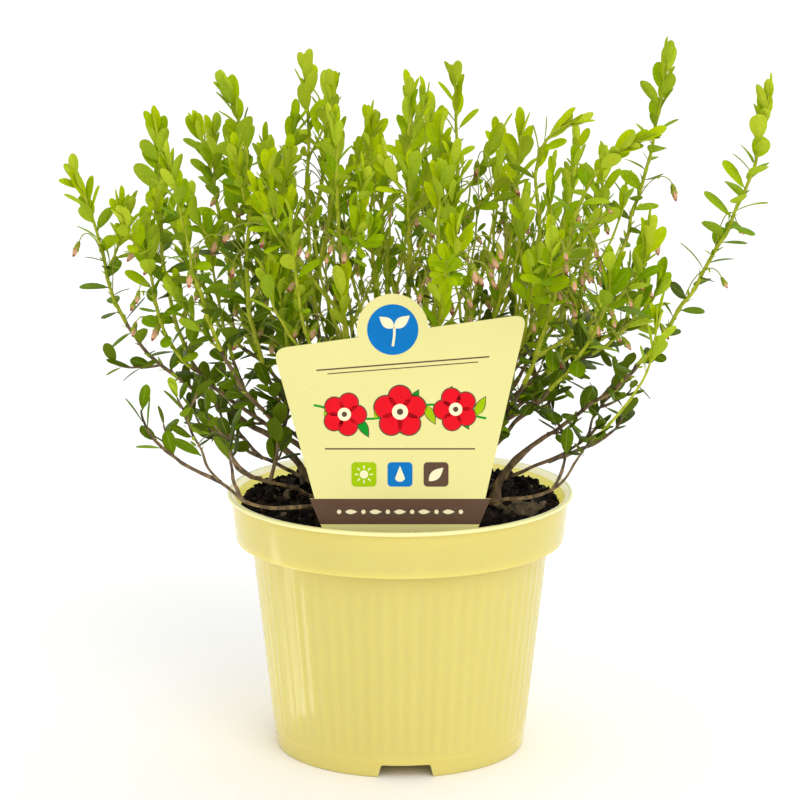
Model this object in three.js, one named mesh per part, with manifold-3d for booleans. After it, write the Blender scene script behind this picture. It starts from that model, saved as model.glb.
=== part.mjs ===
// A potted cranberry: a clump of wiry woody stems that fan out over the rim of a pale yellow nursery pot,
// each stem ending in a mass of upright leafy shoots, with a die-cut plant label standing in the soil.
// Millimetres, +Z up, the origin on the pot's axis at the ground, the front towards -Y.
import * as THREE from 'three';
import { mergeVertices } from 'three/addons/utils/BufferGeometryUtils.js';
import Module from 'manifold-3d';

const wasm = await Module();
wasm.setup();

// The pot: a tapered body under a wider collar with a beaded lip, on a foot ring cut by three notches
const POT = {
  sides: 36,
  height: 98,
  lipRadius: 65,
  lipTall: 1.5,
  lipThick: 2.2,
  collarTop: 63.4,
  collarFoot: 61.8,
  collarFootZ: 80,
  ledgeCorner: 0.8,
  bodyTop: 55.8,
  footRadius: 47,
  wall: 1.6,
  floorZ: 5.2,
  floor: 1.6,
  notches: 3,
  notchWide: 19,
  notchTall: 5,
  notchDeep: 8,
  notchTurn: 2.6,
  drains: 6,
  drainRadius: 4,
  drainRing: 29,
};

// The soil: a plug that fills the pot, flat where the stems stand and falling away towards the wall
const SOIL = { flatRadius: 38, top: 95, edge: 93.6, gap: 0.3 };

// The label: a die-cut card with a round head, a slanted top, a band at its foot and a tongue in the soil
const LABEL = {
  y: -50,
  thick: 0.8,
  lean: 2,
  corner: 5,
  left: { x: -45.6, z: 161.8 },
  right: { x: 45.6, z: 174.4 },
  head: { x: -2.6, z: 168.9, radius: 12.9 },
  card: { half: 30.8, z: 107 },
  band: { half: 32.6, footHalf: 27.5, footZ: 94.5 },
  tongue: { half: 15, tipZ: 84 },
};

// Stems: radii in millimetres at the soil and at the tip, with a flare where they leave the soil, slimmer
// where they lie low, and how far out their feet stand as a share of the way to the crown's edge
const STEM = {
  sides: 5,
  steps: 5,
  foot: 1.15,
  footPerReach: 0.005,
  tip: 0.95,
  lowGirth: 0.75,
  flare: 1.4,
  footShare: 0.27,
};

// A limb's knee, where it has swung out and turns up; the height where woody stem gives over to a leafy
// mass; and how strongly a limb's curve is drawn along its way at its foot, about its knee and at its tip
const KNEE = { z: 148, lowZ: 113, share: 0.72 };
const WOOD = { top: 121, lowTop: 105, sway: 5 };
const DRAW = { foot: 0.4, before: 0.35, after: 0.4, tip: 0.35 };

// The gap between pieces that meet, and the distance within which two vertices are one
const GAP = 0.3;
const MERGE = 0.001;

// Two pieces that would fuse with a face lower than this are nudged apart by a little and fused again
const SLIVER = { least: 0.0015, nudge: 0.03, tries: 6 };

// Shoots: three-sided twigs that carry the leaves
const SHOOT = { sides: 3, step: 26, foot: 0.95, tip: 0.5, sample: 3 };

// Side shoots: how many a mass has at most, where they leave the leading shoot, how far they spread from it
// and how far up beside it they reach, the room they need, and how many headings each may try
const BRANCH = {
  count: 3,
  first: 0.06,
  apart: 0.16,
  sway: 0.08,
  turn: 0.382,
  spread: { least: 11, more: 15 },
  reach: { least: 0.4, more: 0.36 },
  clear: 6,
  tries: 8,
};

// Leaves: a spiral up each shoot, crowding and closing towards its tip, larger than life as they are fewer
const LEAF = {
  length: 15.5,
  width: 8,
  thick: 0.8,
  sunk: 0.25,
  first: 8,
  step: 13.2,
  crowd: 0.8,
  turn: 137.5,
  open: 60,
  shut: 22,
  sway: 12,
  size: { least: 0.8, more: 0.25, sway: 0.12 },
};
const TIP_LEAF = 11;

// How clear a leaf stays of other masses, twigs, stems, the label and the pot's rim
const SPACE = { margin: 0.9, twig: 1.4, stem: 3, label: 6, soil: 3, rim: 10 };

// The furthest that a leaf reaches to either side, to the front or back, and upwards
const REACH = { side: 133, deep: 104, top: 268 };

// A nodding flower bud on a thread-like stalk that arches out from every second leading shoot
const BUD = { every: 2, at: 0.35, turn: 50, out: 13, rise: 10, droop: 0.4, length: 7.5, width: 3 };
const STALK = { radius: 0.55, steps: 3 };

// The crown: where each mass's leading shoot ends and the lean of its tip from upright in degrees. Where
// they differ from STEM, KNEE and BRANCH: how far out the limb has its foot and its knee, the knee's height,
// how stout its stem is, and how many side shoots it has. And whether it lies low over the rim
const CROWN = [
  { tip: [-132, 52, 219], lean: 38, share: 0.77, sides: 0 },
  { tip: [-92, 8, 245], lean: 8, share: 0.86, sides: 2 },
  { tip: [-86, -28, 236], lean: 14, share: 0.72, sides: 1 },
  { tip: [-81, 62, 236], lean: 24, sides: 2 },
  { tip: [-68, -8, 259], lean: 26, share: 0.76 },
  { tip: [-36, 22, 264], lean: 4, share: 0.84, sides: 4 },
  { tip: [-25, -28, 251], lean: 6, sides: 4 },
  { tip: [-12, 58, 238], lean: 12, sides: 4 },
  { tip: [4, -6, 259], lean: 4, sides: 5 },
  { tip: [19, 32, 259], lean: -14, sides: 4 },
  { tip: [15, -37, 233], lean: 5, sides: 4 },
  { tip: [47, 44, 238], lean: 6, sides: 4 },
  { tip: [73, 2, 240], lean: 70, share: 0.72, knee: 156, girth: 1.5 },
  { tip: [70, 76, 222], lean: 16 },
  { tip: [101, 26, 267], lean: 8, share: 0.68, sides: 2 },
  { tip: [93, -62, 242], lean: 70, share: 0.5 },
  { tip: [131, -54, 264], lean: 8, share: 0.7, knee: 160, girth: 1.2, sides: 0 },
  { tip: [84, -22, 211], lean: 60, share: 0.5 },
  { tip: [98, 54, 190], lean: 30 },
  { tip: [-80, -42, 133], lean: 75, foot: 0.37, low: true, sides: 2 },
  { tip: [-80, -98, 165], lean: 25, low: true },
  { tip: [74, -86, 144], lean: 50, low: true },
  { tip: [50, 88, 200], lean: 24 },
  { tip: [14, 98, 214], lean: 22 },
  { tip: [-26, 96, 206], lean: 24 },
  { tip: [-60, 86, 196], lean: 34 },
  { tip: [-86, 20, 142], lean: 60, foot: 0.36, low: true, sides: 2 },
  { tip: [92, 10, 140], lean: 65, foot: 0.36, low: true },
];

const COLOURS = {
  pot: { color: 0xeadb7c, roughness: 0.38, metalness: 0 },
  soil: { color: 0x2a1c14, roughness: 1, metalness: 0 },
  label: { color: 0xf8ee9e, roughness: 0.45, metalness: 0 },
  bark: { color: 0x5b4030, roughness: 0.85, metalness: 0 },
  leaf: { color: 0x7fae14, roughness: 0.45, metalness: 0 },
};

const UP = new THREE.Vector3(0, 0, 1);
const degrees = THREE.MathUtils.degToRad;

// The same run of numbers for the same seed
function seeded(seed) {
  let state = seed >>> 0;
  return () => {
    state = (Math.imul(state, 1664525) + 1013904223) >>> 0;
    return state / 4294967296;
  };
}

// A closed geometry as a solid, and a solid as a geometry
function solidOf(geometry) {
  const bare = new THREE.BufferGeometry();
  bare.setAttribute('position', geometry.getAttribute('position'));
  if (geometry.index) bare.setIndex(geometry.index);
  const merged = mergeVertices(bare, MERGE);
  const vertProperties = new Float32Array(merged.attributes.position.array);
  const triVerts = new Uint32Array(merged.index.array);
  return new wasm.Manifold(new wasm.Mesh({ numProp: 3, vertProperties, triVerts }));
}

function geometryOf(solid) {
  const mesh = solid.getMesh();
  const made = new THREE.BufferGeometry();
  made.setAttribute('position', new THREE.BufferAttribute(mesh.vertProperties, 3));
  made.setIndex(new THREE.BufferAttribute(mesh.triVerts, 1));
  const facets = made.toNonIndexed();
  facets.computeVertexNormals();
  return facets;
}

// The height of a solid's lowest face
function lowestFace(solid) {
  const triangle = new THREE.Triangle();
  const positions = new THREE.BufferAttribute(solid.getMesh().vertProperties, 3);
  const corners = solid.getMesh().triVerts;
  let least = Infinity;
  for (let i = 0; i < corners.length; i += 3) {
    triangle.setFromAttributeAndIndices(positions, corners[i], corners[i + 1], corners[i + 2]);
    const { a, b, c } = triangle;
    const longest = Math.max(a.distanceTo(b), b.distanceTo(c), c.distanceTo(a));
    least = Math.min(least, (2 * triangle.getArea()) / longest);
  }
  return least;
}

// A body with a piece fused on, or null where no nudge gets rid of the slivers
function fused(body, geometry) {
  for (let i = 0; i < SLIVER.tries; i++) {
    const made = body.add(solidOf(geometry));
    if (lowestFace(made) > SLIVER.least) return made;
    geometry.translate(0, 0, SLIVER.nudge);
  }
  return null;
}

// The main body of a solid, without loose scraps
function largest(solid) {
  return solid.decompose().reduce((a, b) => (b.volume() > a.volume() ? b : a));
}

// A closed tapering tube along points, its rings carried along without twist
function limb(points, directions, radii, sides) {
  const ring = [];
  const across = new THREE.Vector3(1, 0, 0);
  points.forEach((point, i) => {
    across.addScaledVector(directions[i], -across.dot(directions[i])).normalize();
    const over = new THREE.Vector3().crossVectors(directions[i], across);
    for (let k = 0; k < sides; k++) {
      const turn = (2 * Math.PI * k) / sides;
      ring.push(point.clone()
        .addScaledVector(across, radii[i] * Math.cos(turn))
        .addScaledVector(over, radii[i] * Math.sin(turn)));
    }
  });
  const faces = [];
  for (let i = 0; i + 1 < points.length; i++) {
    for (let k = 0; k < sides; k++) {
      const a = i * sides + k;
      const b = i * sides + ((k + 1) % sides);
      faces.push(a, b, b + sides, a, b + sides, a + sides);
    }
  }
  const last = (points.length - 1) * sides;
  for (let k = 1; k + 1 < sides; k++) {
    faces.push(0, k + 1, k, last, last + k, last + k + 1);
  }
  const geometry = new THREE.BufferGeometry().setFromPoints(ring);
  geometry.setIndex(faces);
  return geometry;
}

// Even shares of a curve's length, from one to another
function sharesOf(from, to, count) {
  return Array.from({ length: count + 1 }, (_, i) => Math.min(1, from + ((to - from) * i) / count));
}

// A tapering limb along a stretch of a curve
function limbAlong(curve, from, to, steps, radiusAt, sides) {
  const shares = sharesOf(from, to, steps);
  return limb(
    shares.map((t) => curve.getPointAt(t)),
    shares.map((t) => curve.getTangentAt(t)),
    shares.map((t) => radiusAt((t - from) / (to - from))),
    sides,
  );
}

// Points along a stretch of a curve, close enough together to measure distances from
function samples(curve, from, to) {
  const count = Math.max(2, Math.ceil((curve.getLength() * (to - from)) / SHOOT.sample));
  return sharesOf(from, to, count).map((share) => curve.getPointAt(share));
}

function distance(point, cloud) {
  let least = Infinity;
  for (const other of cloud) least = Math.min(least, point.distanceToSquared(other));
  return Math.sqrt(least);
}

// The whole limb of one mass: upright out of the soil, out to its knee, then up to the tip. Its lower
// part is the woody stem, and the rest, from just clear of that, is the mass's leading shoot
function limbOf(plan, index) {
  const random = seeded(401 + 17 * index);
  const reach = new THREE.Vector3(plan.tip[0], plan.tip[1], 0);
  const outward = reach.clone().normalize();
  const foot = reach.clone().multiplyScalar(plan.foot ?? STEM.footShare).setZ(SOIL.top + GAP);
  const lean = degrees(plan.lean);
  const tipWay = outward.clone().multiplyScalar(Math.sin(lean)).addScaledVector(UP, Math.cos(lean));
  const end = new THREE.Vector3(...plan.tip).addScaledVector(tipWay, -TIP_LEAF);
  const knee = reach.clone().multiplyScalar(plan.share ?? KNEE.share);
  knee.z = plan.knee ?? (plan.low ? KNEE.lowZ : KNEE.z);
  const kneeWay = end.clone().sub(foot).normalize();
  const [below, above] = [knee.distanceTo(foot), knee.distanceTo(end)];
  const curve = new THREE.CurvePath();
  curve.add(new THREE.CubicBezierCurve3(
    foot,
    foot.clone().addScaledVector(UP, DRAW.foot * (knee.z - foot.z)),
    knee.clone().addScaledVector(kneeWay, -DRAW.before * below),
    knee,
  ));
  curve.add(new THREE.CubicBezierCurve3(
    knee,
    knee.clone().addScaledVector(kneeWay, DRAW.after * above),
    end.clone().addScaledVector(tipWay, -DRAW.tip * above),
    end,
  ));
  const length = curve.getLength();
  const woodTop = (plan.low ? WOOD.lowTop : WOOD.top) + WOOD.sway * (2 * random() - 1);
  let wood = 0;
  while (curve.getPointAt(wood).z < woodTop) wood += 1 / length;
  const girth = plan.girth ?? (plan.low ? STEM.lowGirth : 1);
  const footRadius = girth * (STEM.foot + STEM.footPerReach * reach.length());
  const radiusAt = (t) => {
    const flare = 1 + (STEM.flare - 1) * Math.max(0, 1 - STEM.steps * t);
    return flare * (footRadius + (STEM.tip - footRadius) * t);
  };
  return { index, curve, wood, radiusAt, outward, points: samples(curve, 0, wood) };
}

// The leading shoot, from just clear of the stem's tip
function leaderOf({ curve, wood }) {
  const from = wood + GAP / curve.getLength();
  return { curve, from, points: samples(curve, from, 1) };
}

// True where a point is within the crown's reach, above the soil and the pot's rim, and clear of the label
function inTheOpen(p) {
  if (Math.abs(p.x) > REACH.side || Math.abs(p.y) > REACH.deep || p.z > REACH.top) return false;
  const overRim = Math.hypot(p.x, p.y) > POT.collarTop - SPACE.soil;
  if (p.z < (overRim ? POT.height + SPACE.rim : SOIL.top + SPACE.soil)) return false;
  const besideLabel = Math.abs(p.x) > LABEL.right.x + SPACE.label || p.z > LABEL.head.z + 2 * SPACE.label;
  return besideLabel || p.y > LABEL.y + SPACE.label;
}

// Side shoots spring from the lower leader and sweep up beside it; one that would come near another
// mass's shoots or any stem tries another heading, and is left out when none is free
function addBranches(mass, strangers) {
  const random = seeded(7001 + 131 * mass.index);
  const leader = mass.shoots[0];
  const end = leader.curve.getPointAt(1);
  for (let k = 0; k < (CROWN[mass.index].sides ?? BRANCH.count); k++) {
    for (let attempt = 0; attempt < BRANCH.tries; attempt++) {
      const along = BRANCH.first + BRANCH.apart * k + BRANCH.sway * random();
      const heading = 2 * Math.PI * (random() + BRANCH.turn * k);
      const spread = BRANCH.spread.least + BRANCH.spread.more * random();
      const reach = BRANCH.reach.least + BRANCH.reach.more * random();
      const share = leader.from + (1 - leader.from) * along;
      const away = new THREE.Vector3(Math.cos(heading), Math.sin(heading), 0);
      const from = leader.curve.getPointAt(share);
      const to = from.clone().lerp(end, reach).addScaledVector(away, spread);
      to.z = Math.max(to.z, from.z + spread);
      const span = to.distanceTo(from);
      const leave = leader.curve.getTangentAt(share).add(away).normalize();
      const curve = new THREE.CubicBezierCurve3(
        from,
        from.clone().addScaledVector(leave, DRAW.before * span),
        to.clone().addScaledVector(UP, -DRAW.tip * span),
        to,
      );
      const points = samples(curve, 0, 1);
      if (!points.every(inTheOpen)) continue;
      if (points.some((p) => distance(p, strangers) < BRANCH.clear)) continue;
      mass.shoots.push({ curve, from: 0, points });
      break;
    }
  }
}

// A stretched octahedron from its root along a way: a leaf of eight faces, or a bud
function spindle(root, along, facing, length, width, thick) {
  const across = new THREE.Vector3().crossVectors(facing, along).normalize();
  const over = new THREE.Vector3().crossVectors(along, across);
  const [half, halfWide, halfThick] = [along.clone(), across, over]
    .map((way, i) => way.multiplyScalar([length, width, thick][i] / 2));
  const middle = root.clone().add(half);
  const place = new THREE.Matrix4().makeBasis(half, halfWide, halfThick).setPosition(middle);
  const marks = [
    middle,
    middle.clone().add(half),
    middle.clone().add(halfWide),
    middle.clone().sub(halfWide),
  ];
  return { geometry: new THREE.OctahedronGeometry(1).applyMatrix4(place), marks };
}

// The leaves of one shoot in a spiral, opening wide below and closing round the tip
function leavesOf({ curve, from }, random) {
  const leaves = [];
  const length = curve.getLength() * (1 - from);
  const across = new THREE.Vector3(1, 0, 0);
  const count = Math.max(2, Math.floor((length - LEAF.first) / LEAF.step) + 1);
  const phase = 360 * random();
  for (let i = 0; i < count; i++) {
    const even = (LEAF.first + (i * (length - LEAF.first)) / (count - 1)) / length;
    const way = Math.min(1, even) ** LEAF.crowd;
    const share = Math.min(1, from + (1 - from) * way);
    const stalk = curve.getTangentAt(share);
    across.addScaledVector(stalk, -across.dot(stalk)).normalize();
    const side = across.clone().applyAxisAngle(stalk, degrees(phase + LEAF.turn * i));
    const open = degrees(LEAF.open + (LEAF.shut - LEAF.open) * way * way + LEAF.sway * (random() - 0.5));
    const along = stalk.clone().multiplyScalar(Math.cos(open)).addScaledVector(side, Math.sin(open));
    const grown = LEAF.size.least + LEAF.size.more * Math.sin(Math.PI * way);
    const size = grown + LEAF.size.sway * (random() - 0.5);
    const root = curve.getPointAt(share).addScaledVector(along, -LEAF.sunk);
    leaves.push(spindle(root, along, stalk, LEAF.length * size, LEAF.width * size, LEAF.thick));
  }
  return leaves;
}

// The arching stalk and hanging bud on the lower part of a leading shoot
function budOf(mass, outward) {
  const leader = mass.shoots[0];
  const from = leader.curve.getPointAt(leader.from + (1 - leader.from) * BUD.at);
  const side = mass.index % (2 * BUD.every) ? 1 : -1;
  const out = outward.clone().applyAxisAngle(UP, side * degrees(BUD.turn));
  const over = from.clone().addScaledVector(out, BUD.out);
  const curve = new THREE.CubicBezierCurve3(
    from,
    from.clone().addScaledVector(out, DRAW.before * BUD.out).addScaledVector(UP, BUD.rise),
    over.clone().addScaledVector(UP, BUD.rise),
    over,
  );
  const droop = out.clone().multiplyScalar(BUD.droop).sub(UP).normalize();
  const root = over.clone().addScaledVector(droop, -STALK.radius);
  const bud = spindle(root, droop, out, BUD.length, BUD.width, BUD.width);
  return { curve, bud, points: samples(curve, 0, 1) };
}

// One mass: its shoots, the leaves that keep to the space nearest to them and clear of each other, and
// its bud, all in one solid
function massSolid(mass, stem, strangers) {
  const random = seeded(90001 + 977 * mass.index);
  const cloud = mass.shoots.flatMap((shoot) => shoot.points);
  const keeps = (p) => inTheOpen(p)
    && distance(p, cloud) + SPACE.margin < distance(p, strangers)
    && distance(p, stem.points) > SPACE.stem;
  const radiusAt = (t) => SHOOT.foot + (SHOOT.tip - SHOOT.foot) * t;
  const [leader, ...branches] = mass.shoots.map(({ curve, from }) => {
    const steps = Math.max(3, Math.round((curve.getLength() * (1 - from)) / SHOOT.step));
    return limbAlong(curve, from, 1, steps, radiusAt, SHOOT.sides);
  });
  let body = branches.reduce((joined, branch) => fused(joined, branch) ?? joined, solidOf(leader));
  const blades = [];
  const addBlade = ({ geometry, marks }) => {
    if (!marks.every((p) => keeps(p) && distance(p, cloud) > SPACE.twig)) return;
    const blade = solidOf(geometry);
    if (blades.some((other) => !other.intersect(blade).isEmpty())) return;
    blades.push(blade);
    body = fused(body, geometry) ?? body;
  };
  mass.shoots.flatMap((shoot) => leavesOf(shoot, random)).forEach(addBlade);
  if (mass.index % BUD.every === 0) {
    const { curve, bud, points } = budOf(mass, stem.outward);
    if (points.every(keeps)) {
      body = fused(body, limbAlong(curve, 0, 1, STALK.steps, () => STALK.radius, SHOOT.sides)) ?? body;
      addBlade(bud);
    }
  }
  return largest(body);
}

// The inner radius of the tapered body at a height
function innerRadius(z) {
  return POT.footRadius - POT.wall + ((POT.bodyTop - POT.footRadius) * z) / POT.collarFootZ;
}

// A profile of [radius, height] points turned about the upright axis
function turned(profile) {
  const points = profile.map(([radius, z]) => new THREE.Vector2(radius, z));
  return solidOf(new THREE.LatheGeometry(points, POT.sides).rotateX(Math.PI / 2));
}

// The flat ledge under the collar, from the body's top out to the collar's foot, with its corner broken
function ledge(inwards, z) {
  return [
    [POT.bodyTop - inwards, z],
    [POT.collarFoot - POT.ledgeCorner - inwards, z],
    [POT.collarFoot - inwards, z + POT.ledgeCorner],
  ];
}

// The pot, turned from its outer and inner profiles, with its notches and drain holes cut
function potSolid() {
  const floorTop = POT.floorZ + POT.floor;
  const foot = [
    [0, POT.floorZ],
    [innerRadius(POT.floorZ), POT.floorZ],
    [POT.footRadius - POT.wall, 0],
    [POT.footRadius, 0],
  ];
  const lip = [
    [POT.collarTop, POT.height - POT.lipTall],
    [POT.lipRadius, POT.height - 0.7 * POT.lipTall],
    [POT.lipRadius, POT.height - 0.3 * POT.lipTall],
    [POT.lipRadius - 0.5, POT.height],
    [POT.lipRadius - POT.lipThick, POT.height],
    [POT.collarTop - POT.wall, POT.height - POT.lipTall],
  ];
  const inside = [
    [innerRadius(floorTop), floorTop],
    [0, floorTop],
  ];
  const outerLedge = ledge(0, POT.collarFootZ);
  const innerLedge = ledge(POT.wall, POT.collarFootZ + POT.wall).reverse();
  let pot = turned([...foot, ...outerLedge, ...lip, ...innerLedge, ...inside]);
  for (let i = 0; i < POT.notches; i++) {
    const notch = new THREE.BoxGeometry(POT.notchDeep, POT.notchWide, 2 * POT.notchTall);
    notch.translate(POT.footRadius, 0, 0).rotateZ(degrees(POT.notchTurn - 90 + (360 * i) / POT.notches));
    pot = pot.subtract(solidOf(notch));
  }
  for (let i = 0; i < POT.drains; i++) {
    const drain = new THREE.CylinderGeometry(POT.drainRadius, POT.drainRadius, 4 * POT.floor, 8);
    drain.rotateX(Math.PI / 2).translate(POT.drainRing, 0, POT.floorZ);
    drain.rotateZ((2 * Math.PI * i) / POT.drains);
    pot = pot.subtract(solidOf(drain));
  }
  return pot;
}

// The soil, clear of the pot's wall all round, with the slot that the label's tongue stands in
function soilSolid() {
  const bottom = POT.floorZ + POT.floor + SOIL.gap;
  const wallGap = POT.wall + SOIL.gap;
  const profile = [
    [0, bottom],
    [innerRadius(bottom) - SOIL.gap, bottom],
    ...ledge(wallGap, POT.collarFootZ + wallGap),
    [POT.collarFoot - wallGap, SOIL.edge],
    [SOIL.flatRadius, SOIL.top],
    [0, SOIL.top],
  ];
  const deep = 2 * (SOIL.top - LABEL.tongue.tipZ + SOIL.gap);
  const slot = new THREE.BoxGeometry(2 * (LABEL.tongue.half + SOIL.gap), deep, LABEL.thick + 2 * SOIL.gap);
  slot.translate(0, SOIL.top, 0).applyMatrix4(labelPlace());
  return turned(profile).subtract(solidOf(slot));
}

// Goes to a corner of an outline and rounds it on the way to the next point
function roundedCorner(shape, before, corner, after, radius) {
  const start = corner.clone().lerp(before, radius / corner.distanceTo(before));
  const finish = corner.clone().lerp(after, radius / corner.distanceTo(after));
  shape.lineTo(start.x, start.y);
  shape.quadraticCurveTo(corner.x, corner.y, finish.x, finish.y);
}

// The label's outline as seen from the front, with heights above the ground as its y
function labelShape() {
  const { left, right, head, card, band, tongue, corner } = LABEL;
  const slope = Math.atan2(right.z - left.z, right.x - left.x);
  const topAtHead = left.z + (head.x - left.x) * Math.tan(slope);
  const bite = Math.asin(((topAtHead - head.z) * Math.cos(slope)) / head.radius);
  const [topLeft, topRight] = [new THREE.Vector2(left.x, left.z), new THREE.Vector2(right.x, right.z)];
  const shape = new THREE.Shape();
  shape.moveTo(-tongue.half, tongue.tipZ);
  shape.lineTo(tongue.half, tongue.tipZ);
  shape.lineTo(tongue.half, band.footZ);
  shape.lineTo(band.footHalf, band.footZ);
  shape.lineTo(band.half, card.z);
  shape.lineTo(card.half, card.z);
  roundedCorner(shape, new THREE.Vector2(card.half, card.z), topRight, topLeft, corner);
  shape.absarc(head.x, head.z, head.radius, slope + bite, Math.PI + slope - bite, false);
  roundedCorner(shape, topRight, topLeft, new THREE.Vector2(-card.half, card.z), corner);
  shape.lineTo(-card.half, card.z);
  shape.lineTo(-band.half, card.z);
  shape.lineTo(-band.footHalf, band.footZ);
  shape.lineTo(-tongue.half, band.footZ);
  shape.closePath();
  return shape;
}

// Stands the label up near the front of the pot, leaning back about the line where it leaves the soil
function labelPlace() {
  return new THREE.Matrix4().makeTranslation(0, LABEL.y, SOIL.top)
    .multiply(new THREE.Matrix4().makeRotationX(Math.PI / 2 - degrees(LABEL.lean)))
    .multiply(new THREE.Matrix4().makeTranslation(0, -SOIL.top, 0));
}

function named(name, geometry, material) {
  const mesh = new THREE.Mesh(geometry, material);
  mesh.name = name;
  return mesh;
}

const materials = Object.fromEntries(
  Object.entries(COLOURS).map(([name, look]) => [name, new THREE.MeshStandardMaterial(look)]),
);

const plant = new THREE.Group();
plant.add(named('pot', geometryOf(potSolid()), materials.pot));
plant.add(named('soil', geometryOf(soilSolid()), materials.soil));

const card = { depth: LABEL.thick, bevelEnabled: false, curveSegments: 8 };
const sheet = new THREE.ExtrudeGeometry(labelShape(), card).translate(0, 0, -LABEL.thick / 2);
const label = named('plant_label', sheet, materials.label);
label.applyMatrix4(labelPlace());
plant.add(label);

const stems = CROWN.map(limbOf);
const masses = stems.map((stem) => ({ index: stem.index, shoots: [leaderOf(stem)] }));

// Every point that a mass keeps away from: the other masses' shoots and their stems
function strangersOf(mass) {
  const others = masses.filter((other) => other !== mass);
  return others.flatMap((other) => [
    ...stems[other.index].points,
    ...other.shoots.flatMap((shoot) => shoot.points),
  ]);
}

masses.forEach((mass) => addBranches(mass, strangersOf(mass)));
stems.forEach((stem, i) => {
  const number = String(i + 1).padStart(2, '0');
  const wood = limbAlong(stem.curve, 0, stem.wood, STEM.steps, stem.radiusAt, STEM.sides);
  plant.add(named(`stem_${number}`, wood, materials.bark));
  const shoots = massSolid(masses[i], stem, strangersOf(masses[i]));
  plant.add(named(`shoots_${number}`, geometryOf(shoots), materials.leaf));
});

export default plant;
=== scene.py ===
# A potted cranberry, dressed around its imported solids: the pot, the soil and the plant label as fine meshes,
# and a crown of stems, twigs, leaves and flower buds grown by the same rule as the solids.
# Sizes are in millimetres, as in the part's own source, and become metres where a mesh is made.
import math
from dataclasses import dataclass, field, replace
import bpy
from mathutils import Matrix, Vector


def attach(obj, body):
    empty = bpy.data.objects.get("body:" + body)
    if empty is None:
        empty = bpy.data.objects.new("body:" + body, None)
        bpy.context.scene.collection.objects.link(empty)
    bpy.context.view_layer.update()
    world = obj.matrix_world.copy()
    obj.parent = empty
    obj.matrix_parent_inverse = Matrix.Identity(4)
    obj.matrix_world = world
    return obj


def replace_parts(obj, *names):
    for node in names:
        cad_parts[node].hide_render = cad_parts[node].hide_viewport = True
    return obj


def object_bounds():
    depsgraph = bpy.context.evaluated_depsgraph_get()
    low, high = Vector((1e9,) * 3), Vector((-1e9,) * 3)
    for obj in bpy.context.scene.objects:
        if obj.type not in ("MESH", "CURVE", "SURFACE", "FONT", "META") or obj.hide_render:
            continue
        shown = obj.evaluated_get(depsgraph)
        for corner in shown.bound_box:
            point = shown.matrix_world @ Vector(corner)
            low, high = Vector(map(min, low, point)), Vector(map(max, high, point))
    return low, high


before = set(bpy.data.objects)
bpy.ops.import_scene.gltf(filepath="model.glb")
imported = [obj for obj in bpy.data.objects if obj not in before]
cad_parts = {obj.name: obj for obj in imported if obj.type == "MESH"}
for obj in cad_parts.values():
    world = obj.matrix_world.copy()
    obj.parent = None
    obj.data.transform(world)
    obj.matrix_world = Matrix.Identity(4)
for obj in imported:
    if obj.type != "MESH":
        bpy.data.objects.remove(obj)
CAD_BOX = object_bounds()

from types import SimpleNamespace as Sizes
from typing import NamedTuple

import bmesh
import bpy
import numpy as np
from mathutils import Vector
from mathutils.geometry import tessellate_polygon
from mathutils.noise import fractal

MM = 0.001
UP = np.array([0.0, 0.0, 1.0])

# The camera of the photograph, in metres and degrees, and its lens
CAMERA = Sizes(back=1.218, up=0.401, pitch=12.43, lens=150, sensor=36, clip_end=100)

# A bright surrounding, two soft suns, and a strip lamp on the floor at the left for the sheen on the pot
WORLD_POWER = 0.9
SUNS = [("key", (0.5, -1.1, 1.0), 0.8, 40), ("back", (0.4, 1.0, 1.6), 0.4, 50)]
STRIP = Sizes(place=(-0.17, -0.016, 0.003), long=0.2, wide=0.03, turn=-7.5, power=0.032)
FLOOR_HALF = 9

# The pot, as in the part's source, with what only shows close to: roundings, ribs and a parting line
POT = Sizes(
    height=98,
    lip_radius=65,
    lip_tall=1.5,
    lip_thick=2.2,
    collar_top=63.4,
    collar_foot=61.8,
    collar_foot_z=80,
    ledge_corner=0.8,
    body_top=55.8,
    foot_radius=47,
    wall=1.6,
    floor_z=5.2,
    floor=1.6,
    sides=360,
)
NOTCH = Sizes(count=3, wide=19, tall=5, deep=8, turn=2.6, corner=1.0, flare=1.6, top_corner=1.2)
DRAIN = Sizes(count=6, radius=4, ring=29, sides=28, past=2)
RIBS = Sizes(count=64, deep=0.14, fine_count=240, fine_deep=0.012, from_z=6, to_z=78, fade=6)
PARTING = Sizes(z=6.4, half=0.25, proud=0.09)
ROUNDING = Sizes(foot=0.7, foot_inside=0.4, ledge=0.5, lip=0.6)
# Where the collar turns out into the lip: how far out of the collar's top, and up from the lip's foot
NECK = [(-0.02, -1.2), (0.03, -0.15)]
# How far the lip's inner finish of painted light starts below the lip, and its outer finish of painted
# highlight above the lip's foot
LIP_PAINTED_LIGHT = Sizes(below=0.4, above=0.1)

# The soil, as in the part's source, and the crumbs, fibres and chips on it
SOIL = Sizes(flat_radius=38, top=95, edge=93.6, gap=0.3, rough=1.9, wave=0.16, level=3.3, edge_smooth=0.6)
SOIL_MESH = Sizes(sides=220, rings=70, wall_top=1.6, fractal=(0.8, 2.1, 5))
# How far small things keep from the soil's edge, past the wall and off the label, and how uneven a clod is
KEEP = Sizes(edge=3.2, past_wall=0.7, label=1.5)
CLOD = Sizes(dents=(0.7, 1.25), stretch=(0.6, 1.25))
CRUMBS = {
    "coarse": Sizes(count=700, size=(0.6, 2.9), most=2.9, ring=0, shares=[0.62, 0.33, 0.05]),
    "fine": Sizes(count=1500, size=(0.25, 0.62), most=0.62, ring=0, shares=[0.5, 0.38, 0.12]),
    "edge": Sizes(count=360, size=(0.25, 2.9), most=1.3, ring=56, shares=[0.62, 0.33, 0.05]),
}
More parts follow.
